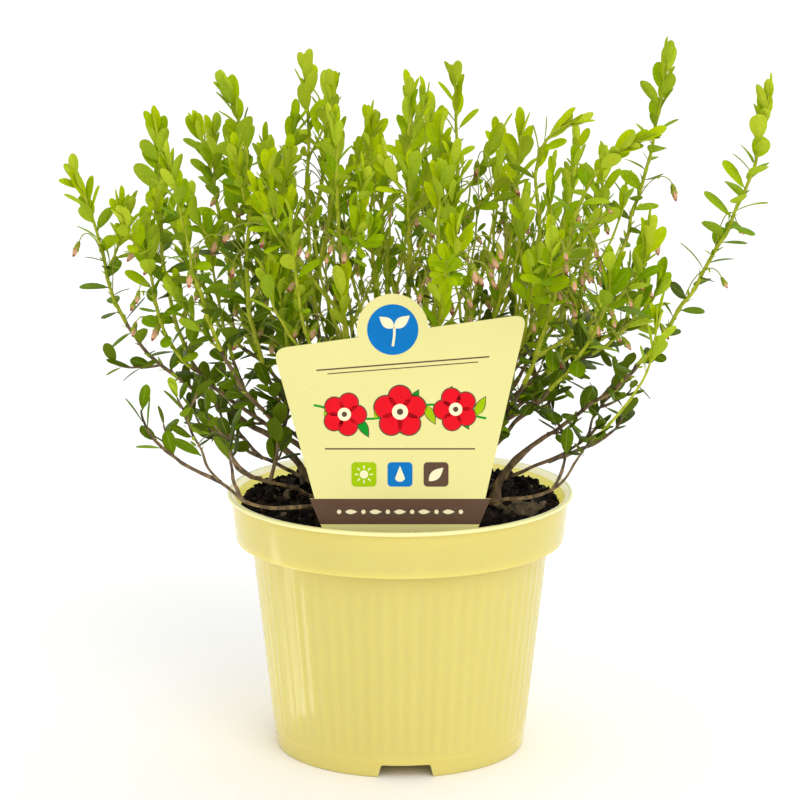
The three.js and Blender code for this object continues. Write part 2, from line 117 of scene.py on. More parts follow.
# How high a crumb sits and how far off the wall, in shares of its size, and the size that takes finer faces
CRUMB_PLACE = Sizes(rise=0.35, edge_rise=(-0.2, 0.9), clear=1.7, fine_from=0.9)
FIBRES = Sizes(
    count=90,
    length=(3, 8),
    radius=0.13,
    lift=0.2,
    rise=(0.3, 2.2),
    sway=0.3,
    pulls=(0.3, 0.7),
    steps=10,
    thin=0.5,
    off_wall=3,
)
CHIPS = Sizes(count=16, length=(1.8, 2.2), shape=(1, 0.5, 0.3), rise=0.2)
BIG_CHIP = Sizes(place=(47, -19), half=(10, 6, 3.6), turn=40, dents=0.35, wave=1.1, fractal=(0.9, 2.1, 4))

# The label, as in the part's source
LABEL = Sizes(
    y=-50,
    thick=0.8,
    lean=2,
    corner=5,
    left=(-45.6, 161.8),
    right=(45.6, 174.4),
    head=(-2.6, 168.9),
    head_radius=12.9,
    card_half=30.8,
    card_z=107,
    band_half=32.6,
    band_foot_half=27.5,
    band_foot_z=94.5,
    print_z=97.6,
    tongue_half=15,
    tongue_z=84,
)

# The label's print: how far it is raised, and where its garland, rules, dots, signs and flecks stand
PRINT = Sizes(
    sunk=0.1,
    raised=0.05,
    layer=0.03,
    inset=0.02,
    garland=Sizes(z=139, high=2.6, long=7.2, half=31, wide=0.8, leafy=27),
    leaf=Sizes(apart=6, turn=62, rim=(8.2, 3.6), face=(7.8, 3.0)),
    blossoms=((-20, 8), (0, 9.6), (20, 8)),
    rules=((-30, 32, 156.5, 0.08, 0.5), (-26, 28, 154.9, 0.08, 0.35), (-27, 27, 125.4, 0, 0.5)),
    dots=Sizes(z=102.2, apart=4.4, count=5, radius=0.8, leaf_wide=1.7),
    head_disc=9.2,
    signs_z=116,
    signs=((-13, "lime"), (0, "blue"), (13, "brown")),
    tile=Sizes(half=3.1, corner=1.4),
    sun=Sizes(radius=1.5, rays=8, ray=(2.1, 3.3), wide=0.45),
    drop=Sizes(tip=3.2, foot=-0.8, radius=1.9),
    sign_leaf=Sizes(foot=(-2.6, -2.4), turn=43, size=(7.2, 3.4)),
    seedling=Sizes(sway=0.6, foot=-6, tall=7, wide=0.9, top=(0.4, 0.6)),
    seed_leaves=((38, 7.2, 3.7), (142, 6.6, 3.7)),
    flecks=Sizes(count=150, from_z=109, to_z=160, over=67, inside=0.95, radius=(0.06, 0.17)),
)
BLOSSOM = Sizes(petals=5, ring=0.56, rim=0.47, petal=0.42, middle=0.3, dot=0.12)

# Ways that no shoot runs along, from which the ways across a shoot and the first spoke of a tube are found
ASKEW = Sizes(shoot=[1.0, 0.13, 0.07], tube=[0.31, 0.95, 0.05])

# Stems, knees, shoots and side shoots, as in the part's source
STEM = Sizes(steps=5, foot=1.15, foot_per_reach=0.005, tip=0.95, flare=1.4, seed=(401, 17))
WOOD = Sizes(top=121, low_top=105, sway=5)
DRAW = Sizes(foot=0.4, before=0.35, after=0.4, tip=0.35)
GAP = 0.3
SHOOT = Sizes(foot=0.95, tip=0.5, neck=12, sample=3)
BRANCH = Sizes(
    first=0.06,
    apart=0.16,
    sway=0.08,
    turn=0.382,
    spread=(11, 15),
    reach=(0.4, 0.36),
    clear=6,
    tries=8,
    seed=(7001, 131),
)
TIP_LEAF = 11
SPACE = Sizes(label=6, soil=3, rim=10, box=0.3)
REACH = Sizes(side=133, deep=104, top=268)
# Leaves over the rim hang above a height that rises towards the camera, to leave the pot in view
OVER_RIM = Sizes(inside=8, least_z=112, slope=0.25)


@dataclass
class Plan:
    """Where a leading shoot ends, how its tip leans from upright, and how far out and high its knee is."""

    tip: tuple
    lean: float
    share: float = 0.72
    sides: int = 3
    foot: float = 0.27
    knee: float = 148
    girth: float = 1
    low: bool = False


def low(tip, lean, **rest):
    """The plan of a limb that stays low, thinner than the others and with its knee nearer the soil."""
    return Plan(tip, lean, knee=113, girth=0.75, low=True, **rest)


# The crown, as in the part's source
CROWN = [
    Plan((-132, 52, 219), 38, share=0.77, sides=0),
    Plan((-92, 8, 245), 8, share=0.86, sides=2),
    Plan((-86, -28, 236), 14, sides=1),
    Plan((-81, 62, 236), 24, sides=2),
    Plan((-68, -8, 259), 26, share=0.76),
    Plan((-36, 22, 264), 4, share=0.84, sides=4),
    Plan((-25, -28, 251), 6, sides=4),
    Plan((-12, 58, 238), 12, sides=4),
    Plan((4, -6, 259), 4, sides=5),
    Plan((19, 32, 259), -14, sides=4),
    Plan((15, -37, 233), 5, sides=4),
    Plan((47, 44, 238), 6, sides=4),
    Plan((73, 2, 240), 70, knee=156, girth=1.5),
    Plan((70, 76, 222), 16),
    Plan((101, 26, 267), 8, share=0.68, sides=2),
    Plan((93, -62, 242), 70, share=0.5),
    Plan((131, -54, 264), 8, share=0.7, sides=0, knee=160, girth=1.2),
    Plan((84, -22, 211), 60, share=0.5),
    Plan((98, 54, 190), 30),
    low((-80, -42, 133), 75, foot=0.37, sides=2),
    low((-80, -98, 165), 25),
    low((74, -86, 144), 50),
    Plan((50, 88, 200), 24),
    Plan((14, 98, 214), 22),
    Plan((-26, 96, 206), 24),
    Plan((-60, 86, 196), 34),
    low((-86, 20, 142), 60, foot=0.36, sides=2),
    low((92, 10, 140), 65, foot=0.36),
]


@dataclass
class FineRule:
    """Finer twigs than the solids have: where they stand, their length, angle off the shoot, bow and room."""

    kind: str
    apart: float
    from_z: float
    length: tuple
    angle: tuple
    lift: float
    clear: float
    to_z: float = REACH.top
    to_share: float = 1


# Leafy twigs up the shoots, dark leafy spurs on the old wood, and thin stalks with leaves at their tips only
TWIG = FineRule("twig", 28, 186, length=(16, 20), angle=(32, 24), lift=0.5, clear=3, to_share=0.86)
OUTER_TWIG = replace(TWIG, apart=60, from_z=150, length=(18, 18))
SPUR = FineRule("spur", 23, 112, length=(6, 12), angle=(40, 30), lift=0.35, clear=2.5, to_z=148)
STALK = FineRule("stalk", 35, 122, length=(34, 30), angle=(20, 14), lift=0.9, clear=2.6, to_z=178)
FINE = Sizes(radii=(0.55, 0.32), tries=4, leave=0.4, arrive=0.3, steps=24, least_leaves=3)
# The crown's crowded middle, from left to right, how far its twigs reach, and where the right arm starts
MIDDLE = (-62, 84)
TWIGGY_X = 40
ARM_X = 110
# In the middle, tips nearer than the front and further than the back are more leafy
FRONT_Y = -24
BACK_Y = 64
BACK_WEAK = 0.6
# The height up to which wood has bark and leaves are old
OLD_WOOD_Z = 150

# The stems' mesh: how it sways, where it turns green, and its girth beside the solids' limbs
WOOD_MESH = Sizes(
    sway=0.35,
    twig_sway=0.2,
    turn_sway=7,
    side_turn=6,
    sunk=4,
    foot=1.15,
    stem=0.88,
    low_stem=0.7,
    green=1.02,
    side=0.85,
    twig_bark=1.03,
    sides=11,
    green_sides=7,
    twig_sides=6,
    least=3,
)
# A sway from side to side: the fewest points, its wave in points, and how it eases in at the foot and the tip
CROOKED = Sizes(least=4, wave=9, ease=8, tip_ease=4)
# Relief of bark and of green shoots, in shares of the radius and in steps along the limb
BARK = Sizes(swell=0.05, swell_wave=6, ridge=0.07, ridge_wave=5, knot=0.3, knot_apart=9, knot_size=1.3)
GREEN = Sizes(joint=0.16, joint_apart=5.5, swell=0.03, swell_wave=4)

# Leaves at their own size, by their distance from the shoot's tip: spacing, angle, size, bend and tone
LEAF = Sizes(
    length=10.6,
    length_sway=0.14,
    width_ratio=(0.35, 0.12),
    width_gain=0.13,
    width_over=30,
    arm_width=0.06,
    spacing=(1.35, 5.0),
    spacing_over=40,
    old_spacing=(4.4, 7.4),
    outer_spacing=0.78,
    arm_spacing=0.5,
    spacing_sway=(0.8, 1.2),
    first=0.2,
    bare_foot=6,
    fine_bare_foot=1.5,
    stalk_leafy=0.4,
    open=(9, 62),
    open_over=38,
    open_power=0.9,
    open_sway=9,
    turn=137.5,
    turn_sway=8,
    off_axis=0.4,
    roll=0.6,
    face_up=0.3,
    old_face_up=1.1,
    face_out=(-0.15, 0.3),
    bend=(22, 10),
    fold=(22, 8),
    old_bend=(24, 10),
    old_fold=(-4, 5),
    tip_size=0.84,
    tip_over=8,
    fine_size=0.9,
    old_size=0.92,
    old_sway=4,
    weak_z=(226, 198),
    weak_size=0.62,
    weak_spacing=2.6,
    weak_tone=1.6,
    tone_over=17,
    tone_z=(206, 25),
    tone_most=4.9,
    tone_sway=0.9,
    old_tone=(5.2, 0.5),
    shoot_tone=0.7,
    slack=3,
)
# How leaves grow smaller and sparser down a shoot, in the middle of the crown and at its sides
INNER = Sizes(far_from=(26, 36), far_size=0.58, far_spacing=3.4)
OUTER = Sizes(far_from=(55, 80), far_size=0.8, far_spacing=1.9)

# A leaf's and a bract's outline from stalk to tip, in shares of its length and half width, the columns of
# points across it, the column that is its midrib, and its thickness
LEAF_BLADE = Sizes(
    outline=[
        (0, 0.12), (0.08, 0.2), (0.22, 0.62), (0.42, 0.93),
        (0.62, 1), (0.8, 0.9), (0.93, 0.6), (1, 0.2),
    ],
    columns=np.array([-1, -0.5, -0.07, 0.07, 0.5, 1]),
    rib=2,
    thick=0.28,
)
BRACT_BLADE = Sizes(
    outline=[(0, 0.5), (0.3, 0.95), (0.7, 0.7), (1, 0.08)],
    columns=np.array([-1, 0, 1]),
    rib=None,
    thick=0.2,
)
EDGE_DROOP = 0.1

# Scale-like bracts that hug the shoots between the leaves
BRACT = Sizes(
    from_z=132,
    to_z=222,
    apart=2.8,
    tip_free=12,
    length=(2.3, 1.7),
    width_ratio=0.42,
    angle=(22, 8),
    bend=20,
    fold=12,
    off_axis=0.5,
    tone=(1.6, 0.7),
)

# Flower buds on thread-like stalks that arch out from the shoots, as in the part's source but more of them
BUD = Sizes(
    from_z=150,
    to_z=214,
    per_shoot=4,
    along=(0.05, 0.7),
    turn=75,
    out=(10, 10),
    rise=(7, 10),
    pulls=((0.2, 0.8), (0.75, 1.15)),
    droop=(0.55, 0.8),
    hang=(0.1, 0.9),
    below=8,
    clear=2,
    stalk=0.23,
    size=(0.75, 1.15),
    cup=(2.7, 1.0),
    petals=(4.6, 1.0),
    sides=8,
    lobes=4,
    lobe_deep=0.14,
    pale_rings=(3, 4),
    pale_share=0.8,
    overlap=0.6,
    sepals=4,
    sepal=(1.9, 1.1, -20, 8, 2),
    sepal_foot=(0.3, 0.85),
    sepal_spread=0.25,
    bracts=2,
    bract=(2.3, 0.9, 10, 12, 1),
    bract_at=(7, 10),
    bract_out=0.6,
)
CUP_PROFILE = [(0, 0.3), (0.25, 0.75), (0.7, 1), (1, 0.95)]
PETAL_PROFILE = [(0, 0.55), (0.12, 0.92), (0.35, 1.0), (0.6, 0.9), (0.82, 0.62), (1, 0.22)]

# Leaves from the youngest to the oldest: the piece, its upper colour and gloss, and the underside's colour
TONES = [
    ("leaves_budding", (0.44, 0.55, 0.002), 0.015, (0.48, 0.58, 0.03)),
    ("leaves_young", (0.37, 0.50, 0.002), 0.015, (0.42, 0.54, 0.026)),
    ("leaves_fresh", (0.29, 0.43, 0.0015), 0.015, (0.36, 0.48, 0.023)),
    ("leaves_grown", (0.20, 0.34, 0.0015), 0.02, (0.29, 0.41, 0.020)),
    ("leaves_full", (0.14, 0.235, 0.001), 0.03, (0.21, 0.31, 0.014)),
    ("leaves_old", (0.09, 0.15, 0.001), 0.045, (0.14, 0.20, 0.009)),
    ("leaves_oldest", (0.055, 0.09, 0.001), 0.12, (0.10, 0.145, 0.007)),
]
RIB_PALE = (0.42, 0.52, 0.08)
RIB_SHARE = 0.28
BRACT_TONES = 4
SEPAL_TONES = 3

# The noise that mottles and roughens: the part of its range that is used, and its detail
NOISE = Sizes(low=0.3, high=0.7, mottle_detail=4, bump_detail=5)
POT_GRAIN = {"mottle": (60, 0.015), "bump": (380, 0.05, 0.2)}
INSIDE_GRAIN = {"mottle": (60, 0.01), "bump": (380, 0.05, 0.2)}
CRUMB = {"mottle": (1200, 0.4), "bump": (1600, 0.8, 0.5), "gloss": 0.15}
INK = {"mottle": (200, 0.05), "gloss": 0.08}
POT_TINT = (1, 0.85, 0.35)
LEAF_ROUGH = Sizes(upper=0.46, less_by_tone=0.015, under=0.62, rib=0.5)
LEAF_GRAIN = {"mottle": (900, 0.12), "bump": (1500, 0.12, 0.2)}
UNDER_GRAIN = {"mottle": (900, 0.08), "bump": (1500, 0.15, 0.2), "gloss": 0.01}
RIB_GRAIN = {"mottle": (900, 0.1), "gloss": 0.05}
LOOKS = {
    # Dark bark mottled towards a pale tan: partly the bark's own lighter patches, partly painted highlight
    "bark": (
        (0.026, 0.017, 0.011),
        0.7,
        {"mottle": (420, 0.4), "bump": (900, 0.6, 0.5), "stretch": (1, 1, 0.35)},
    ),
    "green_shoot": ((0.37, 0.43, 0.01), 0.55, {"mottle": (300, 0.2), "bump": (900, 0.2, 0.3), "gloss": 0.1}),
    "pot_plastic": (
        (0.85, 0.668, 0.184),
        0.15,
        {**POT_GRAIN, "stretch": (1, 1, 0.05), "gloss": 0.4, "through": (0.6, POT_TINT, 0.008)},
    ),
    # A brighter, more saturated copy of the pot's plastic for its inner wall: painted light where the wall
    # lies in shade
    "pot_inside": (
        (0.998, 0.74, 0.13),
        0.4,
        {**INSIDE_GRAIN, "gloss": 0.3, "through": (1.0, (1, 0.8, 0.4), 0.03)},
    ),
    # A paler copy of the pot's plastic for the lip: a painted highlight along its lit top edge
    "pot_lip": ((0.95, 0.86, 0.40), 0.12, {**POT_GRAIN, "gloss": 0.7, "through": (0.6, POT_TINT, 0.004)}),
    # A still paler copy of the plastic for the lip's inner side: painted light where that side lies in the
    # crown's shade
    "lip_inside": (
        (0.998, 0.93, 0.33),
        0.3,
        {**INSIDE_GRAIN, "gloss": 0.4, "through": (1.0, (1, 0.92, 0.5), 0.05)},
    ),
    "peat": ((0.006, 0.004, 0.003), 0.95, {"mottle": (500, 0.5), "bump": (900, 0.9, 0.8), "gloss": 0.15}),
    "crumb_dark": ((0.006, 0.0045, 0.003), 0.95, CRUMB),
    "crumb_brown": ((0.026, 0.016, 0.009), 0.95, CRUMB),
    "crumb_light": ((0.17, 0.12, 0.075), 0.9, CRUMB),
    "peat_fibre": ((0.055, 0.033, 0.018), 0.85, {"mottle": (900, 0.5)}),
    "bark_chip": (
        (0.03, 0.02, 0.012),
        0.9,
        {"mottle": (600, 0.4), "bump": (900, 0.9, 0.8), "stretch": (1, 0.3, 1)},
    ),
    "card": ((0.82, 0.76, 0.31), 0.5, {"mottle": (45, 0.012), "bump": (1200, 0.05, 0.1), "gloss": 0.15}),
    "ink_brown": ((0.12, 0.068, 0.042), 0.5, INK),
    "ink_green": ((0.005, 0.30, 0.02), 0.45, INK),
    "ink_lime": ((0.36, 0.55, 0.001), 0.45, INK),
    "ink_red": ((0.80, 0.006, 0.016), 0.4, INK),
    "ink_blue": ((0.003, 0.18, 0.52), 0.45, INK),
    "ink_cream": ((0.93, 0.86, 0.55), 0.5, {"mottle": (200, 0.03)}),
    "ink_speck": ((0.62, 0.52, 0.2), 0.6, {"mottle": (200, 0.1)}),
    "bud_pale": ((0.66, 0.38, 0.21), 0.5, {"mottle": (900, 0.3), "gloss": 0.1}),
    "bud_red": ((0.36, 0.11, 0.06), 0.5, {"mottle": (900, 0.3), "gloss": 0.1}),
    "bud_stalk": ((0.34, 0.42, 0.05), 0.55, {"mottle": (500, 0.2), "gloss": 0.05}),
    "bud_green": ((0.19, 0.32, 0.01), 0.5, {"mottle": (900, 0.2), "gloss": 0.05}),
    "floor_pale": ((0.97, 0.97, 0.97), 0.9, {}),
}
# The second colour that some are mottled towards
SECOND = {
    # The bark's pale tan is partly its own lighter patches and partly painted highlight
    "bark": (0.30, 0.19, 0.075),
    "green_shoot": (0.52, 0.55, 0.05),
    "peat": (0.03, 0.02, 0.012),
    "bark_chip": (0.13, 0.092, 0.035),
    "bud_stalk": (0.46, 0.40, 0.12),
    "bud_green": (0.34, 0.34, 0.04),
}
# The pot's plastic, then its copies with painted light on the inside and the lip's inner side, and a painted
# highlight on the lip
POT_FINISHES = ["pot_plastic", "pot_inside", "pot_lip", "lip_inside"]
CRUMB_FINISHES = ["crumb_dark", "crumb_brown", "crumb_light"]
INKS = [name for name in LOOKS if name.startswith("ink_")]


def unit(ways):
    """Ways at length one."""
    return ways / np.maximum(1e-12, np.linalg.norm(ways, axis=-1, keepdims=True))


def blend(ends, share):
    """A value between two ends."""
    return ends[0] + (ends[1] - ends[0]) * share


def drawn(least, more, random):
    """A least value and a random share of some more."""
    return least + more * random()


def ramp(value, start, stop):
    """A share that grows from 0 at one value to 1 at another."""
    return float(np.clip((value - start) / (stop - start), 0, 1))


def level_way(turn):
    """The level way at an angle in radians from the x axis."""
    return np.array([math.cos(turn), math.sin(turn), 0.0])


def tilted(way, towards, turn):
    """A way tilted towards another that is square to it, by an angle in degrees."""
    angle = math.radians(turn)
    return way * math.cos(angle) + towards * math.sin(angle)


def spun(points, turn):
    """Points turned about the upright axis by an angle in radians."""
    spin = np.array([level_way(turn), level_way(turn + math.pi / 2), UP])
    return points @ spin


class Seeded:
    """The same run of numbers for the same seed, as in the part's source."""

    def __init__(self, seed, index):
        self.state = seed[0] + seed[1] * index

    def __call__(self):
        self.state = (self.state * 1664525 + 1013904223) % 4294967296
        return self.state / 4294967296


class Curve:
    """A curve as a fine polyline, read by shares of its length."""

    def __init__(self, points):
        self.points = np.asarray(points, float)
        steps = np.linalg.norm(np.diff(self.points, axis=0), axis=1)
        self.along = np.concatenate([[0], np.cumsum(steps)])
        self.length = self.along[-1]

    def at(self, shares):
        where = np.clip(shares, 0, 1) * self.length
        return np.stack([np.interp(where, self.along, self.points[:, k]) for k in range(3)], axis=-1)

    def way(self, shares):
        near = 0.5 / self.length
        ahead = self.at(np.minimum(1, np.asarray(shares) + near))
        behind = self.at(np.maximum(0, np.asarray(shares) - near))
        return unit(ahead - behind)

    def samples(self, start, stop=1):
        """Points along a stretch, close enough together to measure distances from."""
        count = max(2, math.ceil(self.length * (stop - start) / SHOOT.sample))
        return self.at(np.linspace(start, stop, count + 1))


def bezier(a, b, c, d, steps=200):
    """Points along a cubic Bezier curve."""
    t = np.linspace(0, 1, steps + 1)[:, None]
    return (1 - t) ** 3 * a + 3 * (1 - t) ** 2 * t * b + 3 * (1 - t) * t**2 * c + t**3 * d


def nearest(points, cloud):
    """How far each point is from the nearest of a cloud."""
    return np.linalg.norm(points[:, None, :] - cloud[None, :, :], axis=2).min(axis=1)


class Shoot:
    """A stretch of curve that bears leaves, from a share of its length to its end."""

    def __init__(self, curve, kind, start=0.0, radii=(SHOOT.foot, SHOOT.tip)):
        self.curve = curve
        self.kind = kind
        self.start = start
        self.radii = radii
        self.length = curve.length * (1 - start)
        self.points = curve.samples(start)
        self.leaves = []

    @property
    def main(self):
        """Whether the solids have this shoot too."""
        return self.kind in ("leader", "side")


@dataclass
class Mass:
    """One limb of the plant: its woody stem and every shoot that grows on from it."""

    plan: Plan
    index: int
    limb: Curve
    wood: float
    foot_radius: float
    outward: np.ndarray
    shoots: list = field(default_factory=list)

    def __post_init__(self):
        self.stem_points = self.limb.samples(0, self.wood)
        self.x = self.limb.at(1)[0]
        self.shoots.append(Shoot(self.limb, "leader", self.wood + GAP / self.limb.length))


def limb_of(plan, index):
    """A mass's whole limb: upright out of the soil, out to its knee, then up to the tip."""
    random = Seeded(STEM.seed, index)
    tip = np.array(plan.tip, float)
    reach = np.array([tip[0], tip[1], 0.0])
    outward = unit(reach)
    foot = reach * plan.foot
    foot[2] = SOIL.top + GAP
    tip_way = tilted(UP, outward, plan.lean)
    end = tip - tip_way * TIP_LEAF
    knee = reach * plan.share
    knee[2] = plan.knee
    knee_way = unit(end - foot)
    below = np.linalg.norm(knee - foot)
    above = np.linalg.norm(knee - end)
    upright = foot + UP * DRAW.foot * (knee[2] - foot[2])
    lower = bezier(foot, upright, knee - knee_way * DRAW.before * below, knee)
    upper = bezier(knee, knee + knee_way * DRAW.after * above, end - tip_way * DRAW.tip * above, end)
    curve = Curve(np.concatenate([lower, upper[1:]]))
    wood_top = (WOOD.low_top if plan.low else WOOD.top) + WOOD.sway * (2 * random() - 1)
    wood = 0.0
    while curve.at(wood)[2] < wood_top:
        wood += 1 / curve.length
    foot_radius = plan.girth * (STEM.foot + STEM.foot_per_reach * np.linalg.norm(reach))
    return Mass(plan, index, curve, wood, foot_radius, outward)


def in_the_open(points, slack=0.0):
    """Where points are within the crown's reach, above the soil and the pot's rim, and clear of the label."""
    x, y, z = np.asarray(points).reshape(-1, 3).T
    inside = (abs(x) <= REACH.side) & (abs(y) <= REACH.deep) & (z <= REACH.top)
    over_rim = np.hypot(x, y) > POT.collar_top - SPACE.soil
    floor = np.where(over_rim, POT.height + SPACE.rim - slack, SOIL.top + SPACE.soil - slack)
    beside = (abs(x) > LABEL.right[0] + SPACE.label - slack) | (z > LABEL.head[1] + 2 * SPACE.label)
    return inside & (z >= floor) & (beside | (y > LABEL.y + SPACE.label - slack))


def in_the_box(points):
    """Where points are within the solids' own box."""
    low_corner, high_corner = (np.array(corner) / MM for corner in CAD_BOX)
    points = np.asarray(points).reshape(-1, 3)
    return ((points > low_corner + SPACE.box) & (points < high_corner - SPACE.box)).all(axis=1)


def clear_of_the_pot(points):
    """Where leaves over the rim hang high enough to leave the pot in view."""
    x, y, z = np.asarray(points).reshape(-1, 3).T
    least = OVER_RIM.least_z + OVER_RIM.slope * np.maximum(0, -y)
    return (np.hypot(x, y) < POT.collar_foot - OVER_RIM.inside) | (z > least)


def strangers_of(mass, masses):
    """Every point that a mass keeps away from: the other masses' shoots and their stems."""
    others = [other for other in masses if other is not mass]
    clouds = [other.stem_points for other in others] + [s.points for other in others for s in other.shoots]
    return np.concatenate(clouds)


def add_side_shoots(mass, strangers):
    """Side shoots that sweep up beside the leader, by the source's rule."""
    random = Seeded(BRANCH.seed, mass.index)
    leader = mass.shoots[0]
    end = leader.curve.at(1)
    for k in range(mass.plan.sides):
        for _ in range(BRANCH.tries):
            along = BRANCH.first + BRANCH.apart * k + BRANCH.sway * random()
            away = level_way(2 * math.pi * (random() + BRANCH.turn * k))
            spread = drawn(*BRANCH.spread, random)
            reach = drawn(*BRANCH.reach, random)
            share = leader.start + (1 - leader.start) * along
            foot = leader.curve.at(share)
            to = foot + (end - foot) * reach + away * spread
            to[2] = max(to[2], foot[2] + spread)
            span = np.linalg.norm(to - foot)
            leave = unit(leader.curve.way(share) + away)
            curve = Curve(bezier(foot, foot + leave * DRAW.before * span, to - UP * DRAW.tip * span, to))
            shoot = Shoot(curve, "side")
            if in_the_open(shoot.points).all() and (nearest(shoot.points, strangers) >= BRANCH.clear).all():
                mass.shoots.append(shoot)
                break


def across_of(way, turn):
    """A way square to another, turned round it by an angle in degrees."""
    level = unit(np.cross(way, ASKEW.shoot))
    return tilted(level, np.cross(way, level), turn)


def add_fine(mass, strangers, rule, rng):
    """Finer twigs along a mass's shoots, each tried at a few turns and left out where none is free."""
    parents = [s for s in mass.shoots if s.main]
    if rule.kind == "spur":
        parents[0] = Shoot(mass.limb, "limb")
    made = []
    for parent in parents:
        turn = rng.uniform(0, 360)
        for d in np.arange(rule.apart * rng.uniform(0.3, 1), parent.length * rule.to_share, rule.apart):
            share = parent.start + (1 - parent.start) * d / parent.length
            foot = parent.curve.at(share)
            turn += LEAF.turn
            if not rule.from_z < foot[2] < rule.to_z:
                continue
            for attempt in range(FINE.tries):
                way = parent.curve.way(share)
                side = across_of(way, turn + 90 * attempt)
                leave = tilted(way, side, drawn(*rule.angle, rng.random))
                reach = drawn(*rule.length, rng.random)
                to = foot + unit(leave + UP * rule.lift) * reach
                arrive = to - UP * FINE.arrive * rule.lift * reach
                curve = Curve(bezier(foot, foot + leave * FINE.leave * reach, arrive, to, FINE.steps))
                twig = Shoot(curve, rule.kind, radii=FINE.radii)
                own = np.concatenate([s.points for s in mass.shoots + made])
                free = in_the_open(twig.points).all() and (nearest(twig.points, strangers) > rule.clear).all()
                if free and (nearest(twig.points[-2:], own) > rule.clear).all():
                    made.append(twig)
                    break
    mass.shoots.extend(made)


def finish(name, colour, rough, mottle=None, bump=None, stretch=(1, 1, 1), gloss=0.5, through=None):
    """A finish: its colour, mottled by noise of a scale and an amount, a bump of a scale, strength and depth,
    how the noise is stretched, and the weight, tint and reach of the light that comes through."""
    material = bpy.data.materials.new(name)
    material.use_nodes = True
    nodes, link = material.node_tree.nodes, material.node_tree.links.new
    shader = nodes["Principled BSDF"].inputs
    shader["Roughness"].default_value = rough
    shader["Specular IOR Level"].default_value = gloss
    if through:
        for part, value in zip(("Weight", "Radius", "Scale"), through):
            shader["Subsurface " + part].default_value = value
    mapping = nodes.new("ShaderNodeMapping")
    mapping.inputs["Scale"].default_value = stretch
    link(nodes.new("ShaderNodeTexCoord").outputs["Object"], mapping.inputs["Vector"])

    def noise(scale, detail):
        made = nodes.new("ShaderNodeTexNoise")
        made.inputs["Scale"].default_value = scale
        made.inputs["Detail"].default_value = detail
        link(mapping.outputs["Vector"], made.inputs["Vector"])
        return made.outputs["Fac"]

    if mottle:
        scale, amount = mottle
        light = SECOND.get(name, [min(1, c * (1 + amount)) for c in colour])
        mix = nodes.new("ShaderNodeMix")
        mix.data_type = "RGBA"
        mix.inputs["A"].default_value = (*[c * (1 - amount) for c in colour], 1)
        mix.inputs["B"].default_value = (*light, 1)
        spread = nodes.new("ShaderNodeMapRange")
        spread.inputs["From Min"].default_value = NOISE.low
        spread.inputs["From Max"].default_value = NOISE.high
        link(noise(scale, NOISE.mottle_detail), spread.inputs["Value"])
        link(spread.outputs["Result"], mix.inputs["Factor"])
        link(mix.outputs["Result"], shader["Base Color"])
    else:
        shader["Base Color"].default_value = (*colour, 1)
    if bump:
        scale, strength, depth = bump
        relief = nodes.new("ShaderNodeBump")
        relief.inputs["Strength"].default_value = strength
        relief.inputs["Distance"].default_value = depth * MM
        link(noise(scale, NOISE.bump_detail), relief.inputs["Height"])
        link(relief.outputs["Normal"], shader["Normal"])
    return material


def leaf_looks():
    """The looks of each tone of leaf: its upper side, its underside and its midrib."""
    looks = {}
    for i, (_, upper, gloss, under) in enumerate(TONES):
        rib = [blend(pair, RIB_SHARE) for pair in zip(upper, RIB_PALE)]
        rough = LEAF_ROUGH.upper - LEAF_ROUGH.less_by_tone * i
        looks[f"leaf_tone_{i}"] = (upper, rough, {**LEAF_GRAIN, "gloss": gloss})
        looks[f"leaf_under_{i}"] = (under, LEAF_ROUGH.under, UNDER_GRAIN)
        looks[f"leaf_rib_{i}"] = (rib, LEAF_ROUGH.rib, RIB_GRAIN)
    return looks


def leaf_finishes(tones):
    """The names of the finishes of some tones of leaf, three for each."""
    return [f"leaf_{side}_{tone}" for tone in tones for side in ("tone", "under", "rib")]


FINISHES = {}
for name, (colour, rough, rest) in {**LOOKS, **leaf_looks()}.items():
    FINISHES[name] = finish(name, colour, rough, **rest)


def placed(name, data, location=(0, 0, 0), rotation=(0, 0, 0)):
    """Puts a mesh, lamp or camera in the scene."""
    made = bpy.data.objects.new(name, data)
    made.location = location
    made.rotation_euler = rotation
    bpy.context.scene.collection.objects.link(made)
    return made


def shade(mesh, sharp):
    """Shades a mesh smooth but for edges sharper than an angle in degrees."""
    mesh.shade_smooth()
    mesh.set_sharp_from_angle(angle=math.radians(sharp))


class Pile:
    """Many small closed meshes gathered into one piece."""

    def __init__(self):
        self.points = []
        self.faces = []
        self.finishes = []
        self.count = 0

    def add(self, points, faces, finishes=0):
        """Adds points in millimetres, faces that count from them, and one finish or one for each face."""
        points = np.asarray(points, float).reshape(-1, 3)
        self.points.append(points)
        self.faces.extend([tuple(int(i) + self.count for i in face) for face in faces])
        self.finishes.extend([finishes] * len(faces) if np.isscalar(finishes) else list(finishes))
        self.count += len(points)

    def mesh(self, name):
        mesh = bpy.data.meshes.new(name)
        mesh.from_pydata((np.concatenate(self.points) * MM).tolist(), [], self.faces)
        return mesh

    def piece(self, name, finishes, slot, sharp=50):
        """Makes the piece, with the finishes of the given names."""
        mesh = self.mesh(name)
        for finish_name in finishes:
            mesh.materials.append(FINISHES[finish_name])
        mesh.polygons.foreach_set("material_index", np.array(self.finishes, np.int32))
        shade(mesh, sharp)
        mesh.update()
        made = placed(name, mesh)
        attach(made, "root")
        return made


def ring_faces(rings, sides):
    """Faces of a closed body of rings of points between two end points."""
    faces = []
    for i in range(rings - 1):
        for k in range(sides):
            a, b = 1 + i * sides + k, 1 + i * sides + (k + 1) % sides
            faces.append((a, b, b + sides, a + sides))
    last = 1 + (rings - 1) * sides
    for k in range(sides):
        after = (k + 1) % sides
        faces.append((0, 1 + after, 1 + k))
        faces.append((last + sides, last + k, last + after))
    return faces


